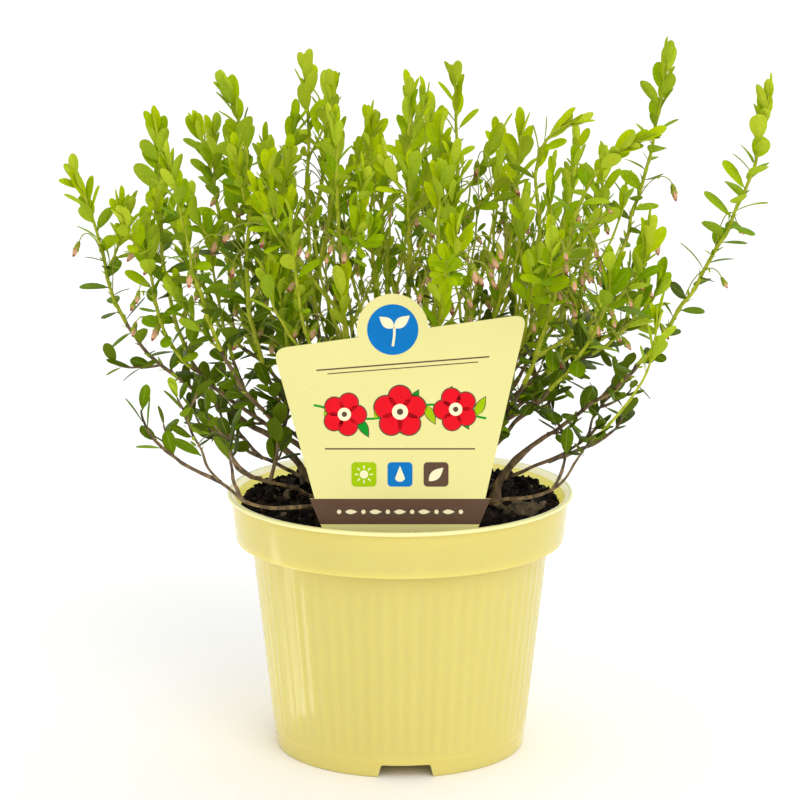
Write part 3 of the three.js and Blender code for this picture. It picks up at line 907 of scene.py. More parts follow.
def tube(points, radii, sides, relief=None):
    """A closed tube along points, its rings carried along without twist; relief scales each ring's radii."""
    points = np.asarray(points, float)
    ways = unit(np.gradient(points, axis=0))
    radii = np.broadcast_to(radii, len(points))
    across = unit(np.cross(ways[0], ASKEW.tube))
    turns = np.arange(sides) * 2 * math.pi / sides
    rings = []
    for i, way in enumerate(ways):
        across = unit(across - way * (across @ way))
        over = np.cross(way, across)
        spokes = np.outer(np.cos(turns), across) + np.outer(np.sin(turns), over)
        scale = radii[i] * (1 if relief is None else relief[i][:, None])
        rings.append(points[i] + spokes * scale)
    return np.concatenate([points[:1], *rings, points[-1:]]), ring_faces(len(points), sides)


def turned(profile, sides, relief=None):
    """A closed mesh of a profile turned about the upright axis, its first and last points on the axis."""
    profile = np.array(profile, float)
    turns = np.arange(sides) * 2 * math.pi / sides
    radius, z = (column[1:-1, None] * np.ones(sides) for column in profile.T)
    if relief is not None:
        radius = radius + relief(radius, z, turns)
    grid = np.stack([radius * np.cos(turns), radius * np.sin(turns), z], axis=-1).reshape(-1, 3)
    points = np.concatenate([[UP * profile[0, 1]], grid, [UP * profile[-1, 1]]])
    return points, ring_faces(len(profile) - 2, sides)


def wander(count, rng, wave):
    """A smooth random line of values about zero, with a wave of that many steps."""
    knots = max(4, int(count / wave) + 3)
    heights = rng.normal(size=knots)
    where = np.linspace(0, knots - 1, count)
    left = np.clip(where.astype(int), 0, knots - 2)
    share = (1 - np.cos((where - left) * math.pi)) / 2
    return heights[left] * (1 - share) + heights[left + 1] * share


def crooked(curve, start, amount, rng):
    """A stretch of curve as points a millimetre apart, swaying a little from side to side but at its foot."""
    count = max(CROOKED.least, int(curve.length * (1 - start)))
    steps = np.arange(count)
    ease = np.minimum(1, np.minimum(steps, steps[::-1] + CROOKED.tip_ease) / CROOKED.ease)[:, None]
    sway = np.stack([wander(count, rng, CROOKED.wave) for _ in range(3)], axis=1)
    return curve.at(np.linspace(start, 1, count)) + sway * ease * amount


def bark_relief(rings, sides, rng):
    """Ridges, lumps and knots of bark as shares of the radius."""
    relief = 1 + BARK.swell * wander(rings, rng, BARK.swell_wave)[:, None] * np.ones(sides)
    for k in range(sides):
        relief[:, k] += BARK.ridge * wander(rings, rng, BARK.ridge_wave)
    ring, side = np.arange(rings)[:, None], np.arange(sides)[None, :]
    for _ in range(rings // BARK.knot_apart):
        at, face = rng.uniform(0, rings), rng.integers(sides)
        aside = np.minimum((side - face) % sides, (face - side) % sides)
        relief += BARK.knot * np.exp(-(((ring - at) / BARK.knot_size) ** 2) - (aside / BARK.knot_size) ** 2)
    return relief


def green_relief(rings, sides, rng):
    """Faint swellings of a green shoot at its leaf joints."""
    joints = 0.5 + 0.5 * np.cos(np.arange(rings) * 2 * math.pi / GREEN.joint_apart + rng.uniform(0, 6))
    swell = 1 + GREEN.joint * joints**4 + GREEN.swell * wander(rings, rng, GREEN.swell_wave)
    return swell[:, None] * np.ones(sides)


def limb_radius(mass, shares):
    """The radius of a whole limb: the stem's taper and flare, then the leading shoot's."""
    t = shares / mass.wood
    flare = 1 + (STEM.flare - 1) * np.maximum(0, 1 - STEM.steps * t)
    stem = flare * (mass.foot_radius + (STEM.tip - mass.foot_radius) * t)
    u = np.clip((shares - mass.wood) / (1 - mass.wood), 0, 1)
    shoot = SHOOT.foot + (STEM.tip - SHOOT.foot) * np.exp(-SHOOT.neck * u) + (SHOOT.tip - SHOOT.foot) * u
    return np.where(shares < mass.wood, stem, shoot)


class Blade(NamedTuple):
    """One leaf: its foot, the way along it, the way its upper side faces, its length and width, how far it
    bends down and its sides fold up, in degrees, and its tone."""

    root: np.ndarray
    along: np.ndarray
    facing: np.ndarray
    length: float
    width: float
    bend: float
    fold: float
    tone: float


def blade_faces(shape):
    """Faces of a closed leaf whose upper and lower sides share their rim, the upper side's first."""
    rows, columns = len(shape.outline), len(shape.columns)
    above = np.arange(rows * columns).reshape(rows, columns)
    below = above.copy()
    inner = np.arange((rows - 2) * (columns - 2)).reshape(rows - 2, columns - 2)
    below[1:-1, 1:-1] = rows * columns + inner
    faces = []
    for side, order in ((above, (0, 1, 2, 3)), (below, (0, 3, 2, 1))):
        corners = np.stack([side[:-1, :-1], side[1:, :-1], side[1:, 1:], side[:-1, 1:]], axis=-1)
        faces.append(corners.reshape(-1, 4)[:, order])
    return np.concatenate(faces)


def blade_points(blades, shape):
    """Points of many leaves at once, each bent along its length and folded along its midrib."""
    root, along, facing, *sizes, _ = (np.array(values, float) for values in zip(*blades))
    length, width, bend, fold = (values[:, None] for values in sizes)
    columns = shape.columns
    share, half = np.array(shape.outline).T
    facing = unit(facing - along * (facing * along).sum(axis=1, keepdims=True))
    across = np.cross(facing, along)
    bend = np.radians(np.where(abs(bend) < 0.5, 0.5, bend))
    fold = np.radians(fold)[:, :, None]
    run = (length * np.sin(bend * share) / bend)[:, :, None]
    drop = (-length * (1 - np.cos(bend * share)) / bend)[:, :, None]
    lean, stand = np.sin(bend * share)[:, :, None], np.cos(bend * share)[:, :, None]
    half_width = (width * half / 2)[:, :, None]
    aside = (half_width * columns * np.cos(fold))[..., None]
    rise = half_width * abs(columns) * np.sin(fold) - half_width * EDGE_DROOP * columns**4
    body = shape.thick / 2 * (1 - columns**2) * np.minimum(1, 3 * half_width)
    root, along, across, facing = (way[:, None, None] for way in (root, along, across, facing))
    sides = []
    for height in (rise + body, rise - body):
        x = (run + lean * height)[..., None]
        z = (drop + stand * height)[..., None]
        sides.append(root + x * along + aside * across + z * facing)
    above, below = sides[0], sides[1][:, 1:-1, 1:-1]
    return np.concatenate([side.reshape(len(blades), -1, 3) for side in (above, below)], axis=1)


def add_blades(pile, blades, shape, tones=1):
    """Adds leaves to a pile, their upper side, underside and midrib in the finishes of their tone."""
    faces = blade_faces(shape)
    half = len(faces) // 2
    kinds = np.repeat([0, 1], half)
    if shape.rib is not None:
        kinds[shape.rib : half : len(shape.columns) - 1] = 2
    for blade, points in zip(blades, blade_points(blades, shape)):
        tone = int(np.clip(round(float(blade.tone)), 0, tones - 1))
        pile.add(points, faces, 3 * tone + kinds)


def weakness(end, outer):
    """How sparse and small a shoot's leaves are: more so on low tips inside the crown, less at the back."""
    if outer or end[1] < FRONT_Y:
        return 0
    return ramp(end[2], *LEAF.weak_z) * (BACK_WEAK if end[1] > BACK_Y else 1)


def leaf_places(shoot, outer, rng):
    """The leaves of one shoot from its tip down. An outer shoot is leafy all along."""
    habit = OUTER if outer else INNER
    shoot_tone = rng.normal(0, LEAF.shoot_tone)
    turn = rng.uniform(0, 360)
    fine = shoot.kind in ("twig", "spur")
    stop = shoot.length - (LEAF.fine_bare_foot if fine else LEAF.bare_foot)
    if shoot.kind == "stalk":
        stop = shoot.length * LEAF.stalk_leafy
    end = shoot.curve.at(1)
    arm = end[0] > ARM_X
    weak = weakness(end, outer)
    leaves = []
    d = LEAF.first
    while d < stop:
        share = 1 - (1 - shoot.start) * d / shoot.length
        centre = shoot.curve.at(share)
        stalk = shoot.curve.way(share)
        old = centre[2] < OLD_WOOD_Z + rng.normal(0, LEAF.old_sway) or shoot.kind == "spur"
        down = 0 if old else ramp(d, *habit.far_from)
        faint = 0 if old else weak * (1 - down)
        opened = min(1, d / LEAF.open_over) ** LEAF.open_power
        side = across_of(stalk, turn)
        along = tilted(stalk, side, blend(LEAF.open, opened) + rng.normal(0, LEAF.open_sway))
        size = blend((LEAF.tip_size, 1), min(1, d / LEAF.tip_over)) * (1 + rng.normal(0, LEAF.length_sway))
        size *= LEAF.old_size if old else blend((1, habit.far_size), down) * (LEAF.fine_size if fine else 1)
        long = LEAF.length * size * blend((1, LEAF.weak_size), faint)
        ratio = drawn(*LEAF.width_ratio, rng.random)
        ratio += LEAF.width_gain * (1 if old else min(1, d / LEAF.width_over) if outer else 0)
        ratio += LEAF.arm_width if arm and not old else 0
        roll = np.cross(stalk, side) * rng.normal(0, LEAF.roll)
        face_up = LEAF.old_face_up if old else LEAF.face_up
        facing = stalk + UP * face_up + side * rng.normal(*LEAF.face_out) + roll
        if old:
            bend, fold = rng.normal(*LEAF.old_bend), rng.normal(*LEAF.old_fold)
            tone = rng.normal(*LEAF.old_tone)
        else:
            bend, fold = rng.normal(*LEAF.bend) * opened, blend(LEAF.fold, opened)
            tone = d / LEAF.tone_over + max(0, (LEAF.tone_z[0] - centre[2]) / LEAF.tone_z[1])
            tone = min(LEAF.tone_most, tone + LEAF.weak_tone * weak) + rng.normal(0, LEAF.tone_sway)
        root = centre + side * LEAF.off_axis
        marks = np.array([root + along * long, root + along * long * 0.5])
        free = in_the_open(marks, LEAF.slack).all() and clear_of_the_pot(marks).all()
        if free and in_the_box(marks).all():
            leaves.append(Blade(root, along, facing, long, long * ratio, bend, fold, tone + shoot_tone))
        turn += LEAF.turn + rng.normal(0, LEAF.turn_sway)
        spacing = blend(LEAF.old_spacing if old else LEAF.spacing, min(1, d / LEAF.spacing_over))
        spacing *= blend((1, habit.far_spacing), down) * blend((1, LEAF.weak_spacing), faint)
        if outer:
            spacing *= LEAF.arm_spacing if arm else LEAF.outer_spacing
        d += spacing * rng.uniform(*LEAF.spacing_sway)
    return leaves


def bract_places(shoot, rng):
    """The bracts up one shoot."""
    bracts = []
    turn = rng.uniform(0, 360)
    for d in np.arange(1, shoot.length - BRACT.tip_free, BRACT.apart):
        share = shoot.start + (1 - shoot.start) * (d + rng.uniform(0, 1)) / shoot.length
        centre = shoot.curve.at(share)
        turn += LEAF.turn
        if not BRACT.from_z < centre[2] < BRACT.to_z:
            continue
        stalk = shoot.curve.way(share)
        side = across_of(stalk, turn)
        along = tilted(stalk, side, rng.normal(*BRACT.angle))
        long = drawn(*BRACT.length, rng.random)
        root, wide, tone = centre + side * BRACT.off_axis, long * BRACT.width_ratio, rng.normal(*BRACT.tone)
        bracts.append(Blade(root, along, stalk - side, long, wide, BRACT.bend, BRACT.fold, tone))
    return bracts


def grow_crown():
    """Every mass of the crown, with its side shoots, twigs, stalks, spurs and leaves."""
    masses = [limb_of(plan, i) for i, plan in enumerate(CROWN)]
    for mass in masses:
        add_side_shoots(mass, strangers_of(mass, masses))
    rng = np.random.default_rng(31)
    for mass in masses:
        rules = [SPUR]
        if mass.x < MIDDLE[0]:
            rules = [OUTER_TWIG, SPUR]
        elif mass.x < MIDDLE[1]:
            rules = [TWIG, STALK, SPUR] if mass.x < TWIGGY_X else [STALK, SPUR]
        strangers = strangers_of(mass, masses)
        for rule in rules:
            add_fine(mass, strangers, rule, rng)
    rng = np.random.default_rng(51)
    for mass in masses:
        outer = not MIDDLE[0] < mass.x < MIDDLE[1]
        for shoot in mass.shoots:
            shoot.leaves = leaf_places(shoot, outer, rng)
        mass.shoots = [s for s in mass.shoots if s.main or len(s.leaves) >= FINE.least_leaves]
    return masses


def make_wood(masses):
    """Stems and older twigs with bark, and the green shoots that they turn into."""
    rng = np.random.default_rng(41)
    bark, green = Pile(), Pile()

    def add(pile, line, radii, sides, relief):
        pile.add(*tube(line, radii, sides, relief(len(line), sides, rng)))

    size = WOOD_MESH
    for mass in masses:
        line = crooked(mass.limb, 0, size.sway, rng)
        radii = limb_radius(mass, np.linspace(0, 1, len(line)))
        turns_green = line[:, 2] > OLD_WOOD_Z + rng.normal(0, size.turn_sway)
        split = int(np.argmax(turns_green)) or len(line) - size.least
        stem = np.concatenate([line[:1] - UP * size.sunk, line[: split + 2]])
        girth = np.concatenate([radii[:1] * size.foot, radii[: split + 2]])
        add(bark, stem, girth * (size.low_stem if mass.plan.low else size.stem), size.sides, bark_relief)
        if len(line) - split > size.least:
            add(green, line[split:], radii[split:] * size.green, size.green_sides, green_relief)
        for shoot in mass.shoots[1:]:
            line = crooked(shoot.curve, shoot.start, size.twig_sway, rng)
            radii = np.linspace(*shoot.radii, len(line))
            woody = len(line) if shoot.kind == "spur" else 0
            if shoot.kind == "side":
                radii = radii * size.side
                woody = int((line[:, 2] < OLD_WOOD_Z - size.side_turn).sum())
            if woody > size.least:
                end = woody + 1
                add(bark, line[:end], radii[:end] * size.twig_bark, size.twig_sides, bark_relief)
            if len(line) - woody > size.least:
                add(green, line[woody:], radii[woody:], size.twig_sides, green_relief)
    stems = bark.piece("bark_stems", ["bark"], "bark")
    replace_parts(stems, *[f"stem_{i + 1:02d}" for i in range(len(CROWN))])
    shoots = green.piece("green_shoots", ["green_shoot"], "foliage")
    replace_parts(shoots, *[f"shoots_{i + 1:02d}" for i in range(len(CROWN))])


def make_leaves(masses):
    """The leaves of every shoot, in one piece for each tone."""
    leaves = [leaf for mass in masses for shoot in mass.shoots for leaf in shoot.leaves]
    tones = [round(float(np.clip(leaf.tone, 0, len(TONES) - 1))) for leaf in leaves]
    for tone, (name, *_) in enumerate(TONES):
        pile = Pile()
        add_blades(pile, [leaf for leaf, own in zip(leaves, tones) if own == tone], LEAF_BLADE)
        pile.piece(name, leaf_finishes([tone]), "foliage", sharp=60)


def make_bracts(masses):
    """The bracts of the leading and side shoots."""
    rng = np.random.default_rng(71)
    bracts = [bract for mass in masses for s in mass.shoots if s.main for bract in bract_places(s, rng)]
    pile = Pile()
    add_blades(pile, bracts, BRACT_BLADE, BRACT_TONES)
    pile.piece("bracts", leaf_finishes(range(BRACT_TONES)), "foliage")


def bud_stalk(foot, away, rng):
    """The stalk of one bud as points, arching out and down, and the way the bud hangs."""
    out = drawn(*BUD.out, rng.random)
    rise = drawn(*BUD.rise, rng.random)
    near, far = (foot + away * out * a + UP * rise * b for a, b in BUD.pulls)
    end = foot + away * out + UP * rise * rng.uniform(*BUD.droop)
    return bezier(foot, near, far, end, 12), unit(away * rng.uniform(*BUD.hang) - UP)


def lobed(foot, way, length, radius, profile):
    """A small closed body along a way, its radius following a profile, with lobes round it."""
    share, scale = np.array(profile).T
    line = foot + way * length * share[:, None]
    lobes = np.cos(BUD.lobes * np.arange(BUD.sides) * 2 * math.pi / BUD.sides)
    relief = 1 + BUD.lobe_deep * lobes * np.linspace(0.2, 1, len(share))[:, None]
    return tube(line, radius * scale, BUD.sides, relief)


class Buds:
    """Flower buds: green cups with four sepals and closed pinkish petals with a redder tip."""

    def __init__(self):
        self.stalks, self.cups, self.petals, self.sepals = Pile(), Pile(), Pile(), Pile()
        self.blades = []

    def add(self, line, hang, away, rng):
        """One bud at the end of its stalk, with two bracts on the stalk."""
        self.stalks.add(*tube(line, BUD.stalk, 5))
        size = rng.uniform(*BUD.size)
        long, radius = (value * size for value in BUD.cup)
        cup_end = line[-1] + hang * long
        self.cups.add(*lobed(line[-1], hang, long, radius, CUP_PROFILE))
        petals_long, petals_radius = (value * size for value in BUD.petals)
        points, faces = lobed(cup_end - hang * BUD.overlap, hang, petals_long, petals_radius, PETAL_PROFILE)
        pale = BUD.sides * BUD.pale_rings[rng.random() < BUD.pale_share]
        self.petals.add(points, faces, [0] * pale + [1] * (len(faces) - pale))
        sunk, out = BUD.sepal_foot
        for k in range(BUD.sepals):
            side = across_of(hang, 45 + 360 / BUD.sepals * k)
            root = cup_end - hang * sunk + side * radius * out
            self.blades.append(Blade(root, unit(hang + side * BUD.sepal_spread), side, *BUD.sepal))
        for _ in range(BUD.bracts):
            root = line[int(rng.integers(*BUD.bract_at))]
            side = across_of(hang, rng.uniform(0, 360))
            self.blades.append(Blade(root, unit(side + away * BUD.bract_out), UP, *BUD.bract))

    def make_pieces(self):
        self.stalks.piece("bud_stalks", ["bud_stalk"], "foliage")
        self.cups.piece("bud_cups", ["bud_green"], "foliage", sharp=60)
        self.petals.piece("bud_petals", ["bud_pale", "bud_red"], "foliage", sharp=60)
        add_blades(self.sepals, self.blades, BRACT_BLADE, SEPAL_TONES)
        self.sepals.piece("bud_sepals", leaf_finishes(range(SEPAL_TONES)), "foliage")


def make_buds(masses):
    """Tries a few buds along each leading and side shoot, and keeps those that hang free."""
    rng = np.random.default_rng(61)
    buds = Buds()
    for mass in masses:
        strangers = strangers_of(mass, masses)
        for shoot in (s for s in mass.shoots if s.main):
            for _ in range(BUD.per_shoot):
                foot = shoot.curve.at(blend((shoot.start, 1), rng.uniform(*BUD.along)))
                away = spun(mass.outward, math.radians(rng.uniform(-1, 1) * BUD.turn))
                line, hang = bud_stalk(foot, away, rng)
                tip = line[-1:] + hang * BUD.below
                free = in_the_box(tip).all() and in_the_open(np.vstack([line, tip])).all()
                if BUD.from_z < foot[2] < BUD.to_z and free and nearest(tip, strangers)[0] >= BUD.clear:
                    buds.add(line, hang, away, rng)
    buds.make_pieces()


def arc(centre, radius, start, stop, count):
    """Points on an arc, from one angle to another in degrees."""
    turns = np.radians(np.linspace(start, stop, count))
    return [(centre[0] + radius * math.cos(t), centre[1] + radius * math.sin(t)) for t in turns]


def inner_radius(z):
    """The inner radius of the pot's tapered body at a height."""
    return POT.foot_radius - POT.wall + (POT.body_top - POT.foot_radius) * z / POT.collar_foot_z


def ledge(inwards, z):
    """The flat ledge under the collar, from the body's top out to the collar's foot, its corner rounded."""
    out, corner, fillet = POT.collar_foot - inwards, POT.ledge_corner, ROUNDING.ledge
    root = POT.body_top - inwards
    inner = arc((root + fillet, z - fillet), fillet, 180, 90, 4)
    return inner + arc((out - corner, z + corner), corner, -90, -4, 6)


def pot_profile():
    """The pot's outline as radius and height, from the middle of its underside round to that of its floor."""
    floor_top = POT.floor_z + POT.floor
    edge = ROUNDING.foot
    foot = [(0, POT.floor_z), (inner_radius(POT.floor_z), POT.floor_z)]
    foot += [(POT.foot_radius - POT.wall, ROUNDING.foot_inside)]
    foot += arc((POT.foot_radius - edge, edge), edge, -120, -6, 6)
    slope = (POT.body_top - POT.foot_radius) / POT.collar_foot_z
    parting = [(PARTING.z + PARTING.half * k, PARTING.proud * (1 - abs(k))) for k in (-1, -0.4, 0.4, 1)]
    levels = [(3, 0), *parting, *((z, 0) for z in np.linspace(8, POT.collar_foot_z - 1.2, 16))]
    body = [(POT.foot_radius + slope * z + proud, z) for z, proud in levels]
    bead, curl = POT.lip_tall / 2, ROUNDING.lip
    under = POT.height - POT.lip_tall
    lip = [(POT.collar_top + out, under + up) for out, up in NECK]
    lip += arc((POT.lip_radius - bead, POT.height - bead), bead, -88, 88, 10)
    lip += arc((POT.lip_radius - POT.lip_thick + curl, POT.height - curl), curl, 92, 170, 5)
    lip += [(POT.collar_top - POT.wall, under - 0.3)]
    inside = [(inner_radius(floor_top + 1), floor_top + 1), (inner_radius(floor_top) - 1, floor_top)]
    inside += [(0, floor_top)]
    inner_ledge = ledge(POT.wall, POT.collar_foot_z + POT.wall)[::-1]
    return foot + body + ledge(0, POT.collar_foot_z) + lip + inner_ledge + inside


def pot_relief(radius, z, turns):
    """The faint flutes down the outside of the pot's body."""
    outside = radius > inner_radius(z) + POT.wall / 2
    fade = np.clip((z - RIBS.from_z) / RIBS.fade, 0, 1) * np.clip((RIBS.to_z - z) / RIBS.fade, 0, 1)
    flutes = RIBS.deep * np.cos(RIBS.count * turns) + RIBS.fine_deep * np.cos(RIBS.fine_count * turns)
    return np.where(outside, fade * flutes, 0)


def tessellated(outline):
    """Triangles of a flat outline that runs anticlockwise, all of them anticlockwise too."""
    faces = []
    for i, j, k in tessellate_polygon([[Vector((u, v, 0)) for u, v in outline]]):
        (ax, ay), (bx, by), (cx, cy) = outline[i], outline[j], outline[k]
        turn = (bx - ax) * (cy - ay) - (by - ay) * (cx - ax)
        faces.append((i, j, k) if turn > 0 else (i, k, j))
    return faces


def prism(outline, bottom, top, place):
    """A closed prism of an outline between two levels, set in space by a function of u, v and level."""
    flat = tessellated(outline)
    count = len(outline)
    points = [place(u, v, level) for level in (bottom, top) for u, v in outline]
    faces = [tuple(reversed(face)) for face in flat] + [tuple(i + count for i in face) for face in flat]
    faces += [(i, (i + 1) % count, (i + 1) % count + count, i + count) for i in range(count)]
    return points, faces


def notch_cutter(index):
    """The rounded notch through the pot's foot ring, flaring a little downwards."""
    half, corner, top_corner = NOTCH.wide / 2, NOTCH.corner, NOTCH.top_corner
    foot = half + NOTCH.flare
    right = [(foot + 0.4, -1), (foot + 0.2, 0)] + arc((foot, corner), corner, -90, -170, 4)[1:]
    right += arc((half - top_corner, NOTCH.tall - corner), corner, 12, 90, 4)
    outline = right + [(-u, v) for u, v in reversed(right)]
    out = level_way(math.radians(NOTCH.turn - 90 + 360 * index / NOTCH.count))
    aside = np.cross(UP, out)
    inner, outer = POT.foot_radius - NOTCH.deep / 2, POT.foot_radius + NOTCH.deep / 2
    return prism(outline, inner, outer, lambda u, v, w: out * w + aside * u + UP * v)


def drain_cutter(index):
    """A round drain hole through the pot's floor."""
    foot = level_way(2 * math.pi * index / DRAIN.count) * DRAIN.ring + UP * (POT.floor_z - DRAIN.past)
    return tube([foot, foot + UP * (POT.floor + 2 * DRAIN.past)], DRAIN.radius, DRAIN.sides)


def cut(piece, cutters):
    """Cuts closed meshes out of a piece."""
    pile = Pile()
    for cutter in cutters:
        pile.add(*cutter)
    mesh = pile.mesh("cutter")
    cutter = placed("cutter", mesh)
    boolean = piece.modifiers.new("cut", "BOOLEAN")
    boolean.operation = "DIFFERENCE"
    boolean.solver = "EXACT"
    boolean.object = cutter
    made = bpy.data.meshes.new_from_object(piece.evaluated_get(bpy.context.evaluated_depsgraph_get()))
    piece.modifiers.clear()
    piece.data = made
    bpy.data.objects.remove(cutter)
    bpy.data.meshes.remove(mesh)


def pot_finish_with_painted_light(face):
    """A face's finish: the lip's inner side and the pot's inside in copies with painted light, the rest of the
    lip with a painted highlight, the outside plain.
    """
    z = face.center.z
    inwards = -(face.normal.x * face.center.x + face.normal.y * face.center.y) > 0
    if inwards and z > (POT.height - POT.lip_tall - LIP_PAINTED_LIGHT.below) * MM:
        return "lip_inside"
    if z > (POT.height - POT.lip_tall + LIP_PAINTED_LIGHT.above) * MM:
        return "pot_lip"
    return "pot_inside" if inwards and z > POT.floor_z * MM else "pot_plastic"


def make_pot():
    pile = Pile()
    pile.add(*turned(pot_profile(), POT.sides, pot_relief))
    piece = pile.piece("pot_shell", POT_FINISHES, "pot")
    notches = [notch_cutter(i) for i in range(NOTCH.count)]
    cut(piece, notches + [drain_cutter(i) for i in range(DRAIN.count)])
    for face in piece.data.polygons:
        face.material_index = POT_FINISHES.index(pot_finish_with_painted_light(face))
    shade(piece.data, 40)
    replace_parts(piece, "pot")


def soil_height(x, y):
    """The height of the soil's rough surface at a point."""
    edge = POT.collar_foot - POT.wall - SOIL.gap
    slope = np.clip((np.hypot(x, y) - SOIL.flat_radius) / (edge - SOIL.flat_radius), 0, 1)
    base = SOIL.top + (SOIL.edge - SOIL.top) * slope
    places = ((a * SOIL.wave, b * SOIL.wave, SOIL.level) for a, b in zip(np.ravel(x), np.ravel(y)))
    rough = np.reshape([fractal(Vector(place), *SOIL_MESH.fractal) for place in places], np.shape(x))
    return base + SOIL.rough * rough * (1 - SOIL.edge_smooth * slope)


def make_soil():
    bottom = POT.floor_z + POT.floor + SOIL.gap
    gap = POT.wall + SOIL.gap
    rim = POT.collar_foot - gap
    ledge_z = POT.collar_foot_z + gap
    side = [
        (0, bottom),
        (inner_radius(bottom) - SOIL.gap, bottom),
        (POT.body_top - gap, ledge_z),
        (rim - POT.ledge_corner, ledge_z),
        (rim, ledge_z + POT.ledge_corner),
        (rim, SOIL.edge - SOIL_MESH.wall_top),
    ]
    top = [(r, SOIL.top) for r in np.linspace(rim - SOIL.gap, 0, SOIL_MESH.rings)]
    points, faces = turned(side + top, SOIL_MESH.sides)
    on_top = points[:, 2] >= SOIL.top - 1e-6
    points[on_top, 2] = soil_height(points[on_top, 0], points[on_top, 1])
    pile = Pile()
    pile.add(points, faces)
    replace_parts(pile.piece("soil_bed", ["peat"], "soil", sharp=60), "soil")


def on_soil(rng, clear=KEEP.edge, ring=0.0):
    """A random place on the soil, clear of the label's tongue and the pot's wall, outside a ring's radius."""
    reach = POT.collar_foot - POT.wall + KEEP.past_wall - clear
    while True:
        r = math.sqrt(rng.uniform(ring**2, reach**2))
        x, y, _ = r * level_way(rng.uniform(0, 2 * math.pi))
        if abs(y - LABEL.y) > KEEP.label + clear or abs(x) > LABEL.band_foot_half + clear:
            return np.array([x, y, float(soil_height(x, y))])


def ball(level):
    """A sphere of triangles, of radius 1."""
    made = bmesh.new()
    bmesh.ops.create_icosphere(made, subdivisions=level, radius=1)
    points = np.array([v.co for v in made.verts])
    faces = [tuple(v.index for v in face.verts) for face in made.faces]
    made.free()
    return points, faces


def clod(rng, size, level):
    """A crumb of peat: a small sphere of faces pushed about."""
    points, faces = ball(level)
    points = points * rng.uniform(*CLOD.dents, size=(len(points), 1)) * size
    points = points * rng.uniform(*CLOD.stretch, size=3)
    return spun(points, rng.uniform(0, 2 * math.pi)), faces


def make_crumbs():
    rng = np.random.default_rng(11)
    pile = Pile()
    for kind, rule in CRUMBS.items():
        coarse = kind == "coarse"
        for _ in range(rule.count):
            size = min(rng.uniform(*rule.size) * (rng.uniform(0.4, 1) if coarse else 1), rule.most)
            points, faces = clod(rng, size, 2 if coarse and size >= CRUMB_PLACE.fine_from else 1)
            place = on_soil(rng, CRUMB_PLACE.clear * size, rule.ring)
            rise = rng.uniform(*CRUMB_PLACE.edge_rise) if kind == "edge" else CRUMB_PLACE.rise
            pile.add(points + place + UP * size * rise, faces, int(rng.choice(3, p=rule.shares)))
    pile.piece("soil_crumbs", CRUMB_FINISHES, "soil", sharp=30)


def make_fibres():
    rng = np.random.default_rng(12)
    pile = Pile()
    for _ in range(FIBRES.count):
        foot = on_soil(rng) + UP * FIBRES.lift
        length = drawn(*FIBRES.length, rng.random)
        way = level_way(rng.uniform(0, 2 * math.pi))
        aside = np.cross(UP, way) * rng.normal(0, FIBRES.sway) * length
        rise = UP * rng.uniform(*FIBRES.rise)
        near = foot + way * FIBRES.pulls[0] * length + rise
        far = foot + way * FIBRES.pulls[1] * length + aside + rise
        line = bezier(foot, near, far, foot + way * length + aside, FIBRES.steps)
        line = line[np.hypot(line[:, 0], line[:, 1]) < POT.collar_foot - FIBRES.off_wall]
        if len(line) > 4:
            pile.add(*tube(line, np.linspace(1, FIBRES.thin, len(line)) * FIBRES.radius, 4))
    pile.piece("soil_fibres", ["peat_fibre"], "soil")


def make_chips():
    rng = np.random.default_rng(13)
    pile = Pile()
    for _ in range(CHIPS.count):
        size = drawn(*CHIPS.length, rng.random)
        points, faces = clod(rng, 1, 2)
        points = spun(points * CHIPS.shape * size, rng.uniform(0, math.pi))
        pile.add(points + on_soil(rng, size + 1) + UP * size * CHIPS.rise, faces)
    points, faces = ball(4)
    dents = [[fractal(Vector(point * BIG_CHIP.wave), *BIG_CHIP.fractal)] for point in points]
    points = points * (1 + BIG_CHIP.dents * np.array(dents)) * BIG_CHIP.half
    x, y = BIG_CHIP.place
    pile.add(spun(points, math.radians(BIG_CHIP.turn)) + [x, y, float(soil_height(x, y))], faces)
    pile.piece("soil_chips", ["bark_chip"], "soil", sharp=30)


def on_label(u, v, w):
    """A point of the label from across it, up it and out of its front."""
    lean = math.radians(90 - LABEL.lean)
    up = v - SOIL.top
    y = LABEL.y + up * math.cos(lean) - w * math.sin(lean)
    return np.array([u, y, SOIL.top + up * math.sin(lean) + w * math.cos(lean)])


def rounded(before, corner, after, radius, count=6):
    """A rounded corner on the way from one point to another."""
    before, corner, after = (np.array(p, float) for p in (before, corner, after))
    start = corner + (before - corner) * radius / np.linalg.norm(before - corner)
    end = corner + (after - corner) * radius / np.linalg.norm(after - corner)
    t = np.linspace(0, 1, count)[:, None]
    return [tuple(p) for p in (1 - t) ** 2 * start + 2 * t * (1 - t) * corner + t**2 * end]


def label_outline():
    """The label's outline as seen from the front, anticlockwise."""
    left, right, head = LABEL.left, LABEL.right, LABEL.head
    slope = math.atan2(right[1] - left[1], right[0] - left[0])
    top_at_head = left[1] + (head[0] - left[0]) * math.tan(slope)
    bite = math.degrees(math.asin((top_at_head - head[1]) * math.cos(slope) / LABEL.head_radius))
    turn = math.degrees(slope)
    tongue, foot, band, card = LABEL.tongue_half, LABEL.band_foot_half, LABEL.band_half, LABEL.card_half
    outline = [(-tongue, LABEL.tongue_z), (tongue, LABEL.tongue_z), (tongue, LABEL.band_foot_z)]
    outline += [(foot, LABEL.band_foot_z), (band, LABEL.card_z), (card, LABEL.card_z)]
    outline += rounded((card, LABEL.card_z), right, left, LABEL.corner)
    outline += arc(head, LABEL.head_radius, turn + bite, 180 + turn - bite, 28)
    outline += rounded(right, left, (-card, LABEL.card_z), LABEL.corner)
    outline += [(-card, LABEL.card_z), (-band, LABEL.card_z), (-foot, LABEL.band_foot_z)]
    return outline + [(-tongue, LABEL.band_foot_z)]


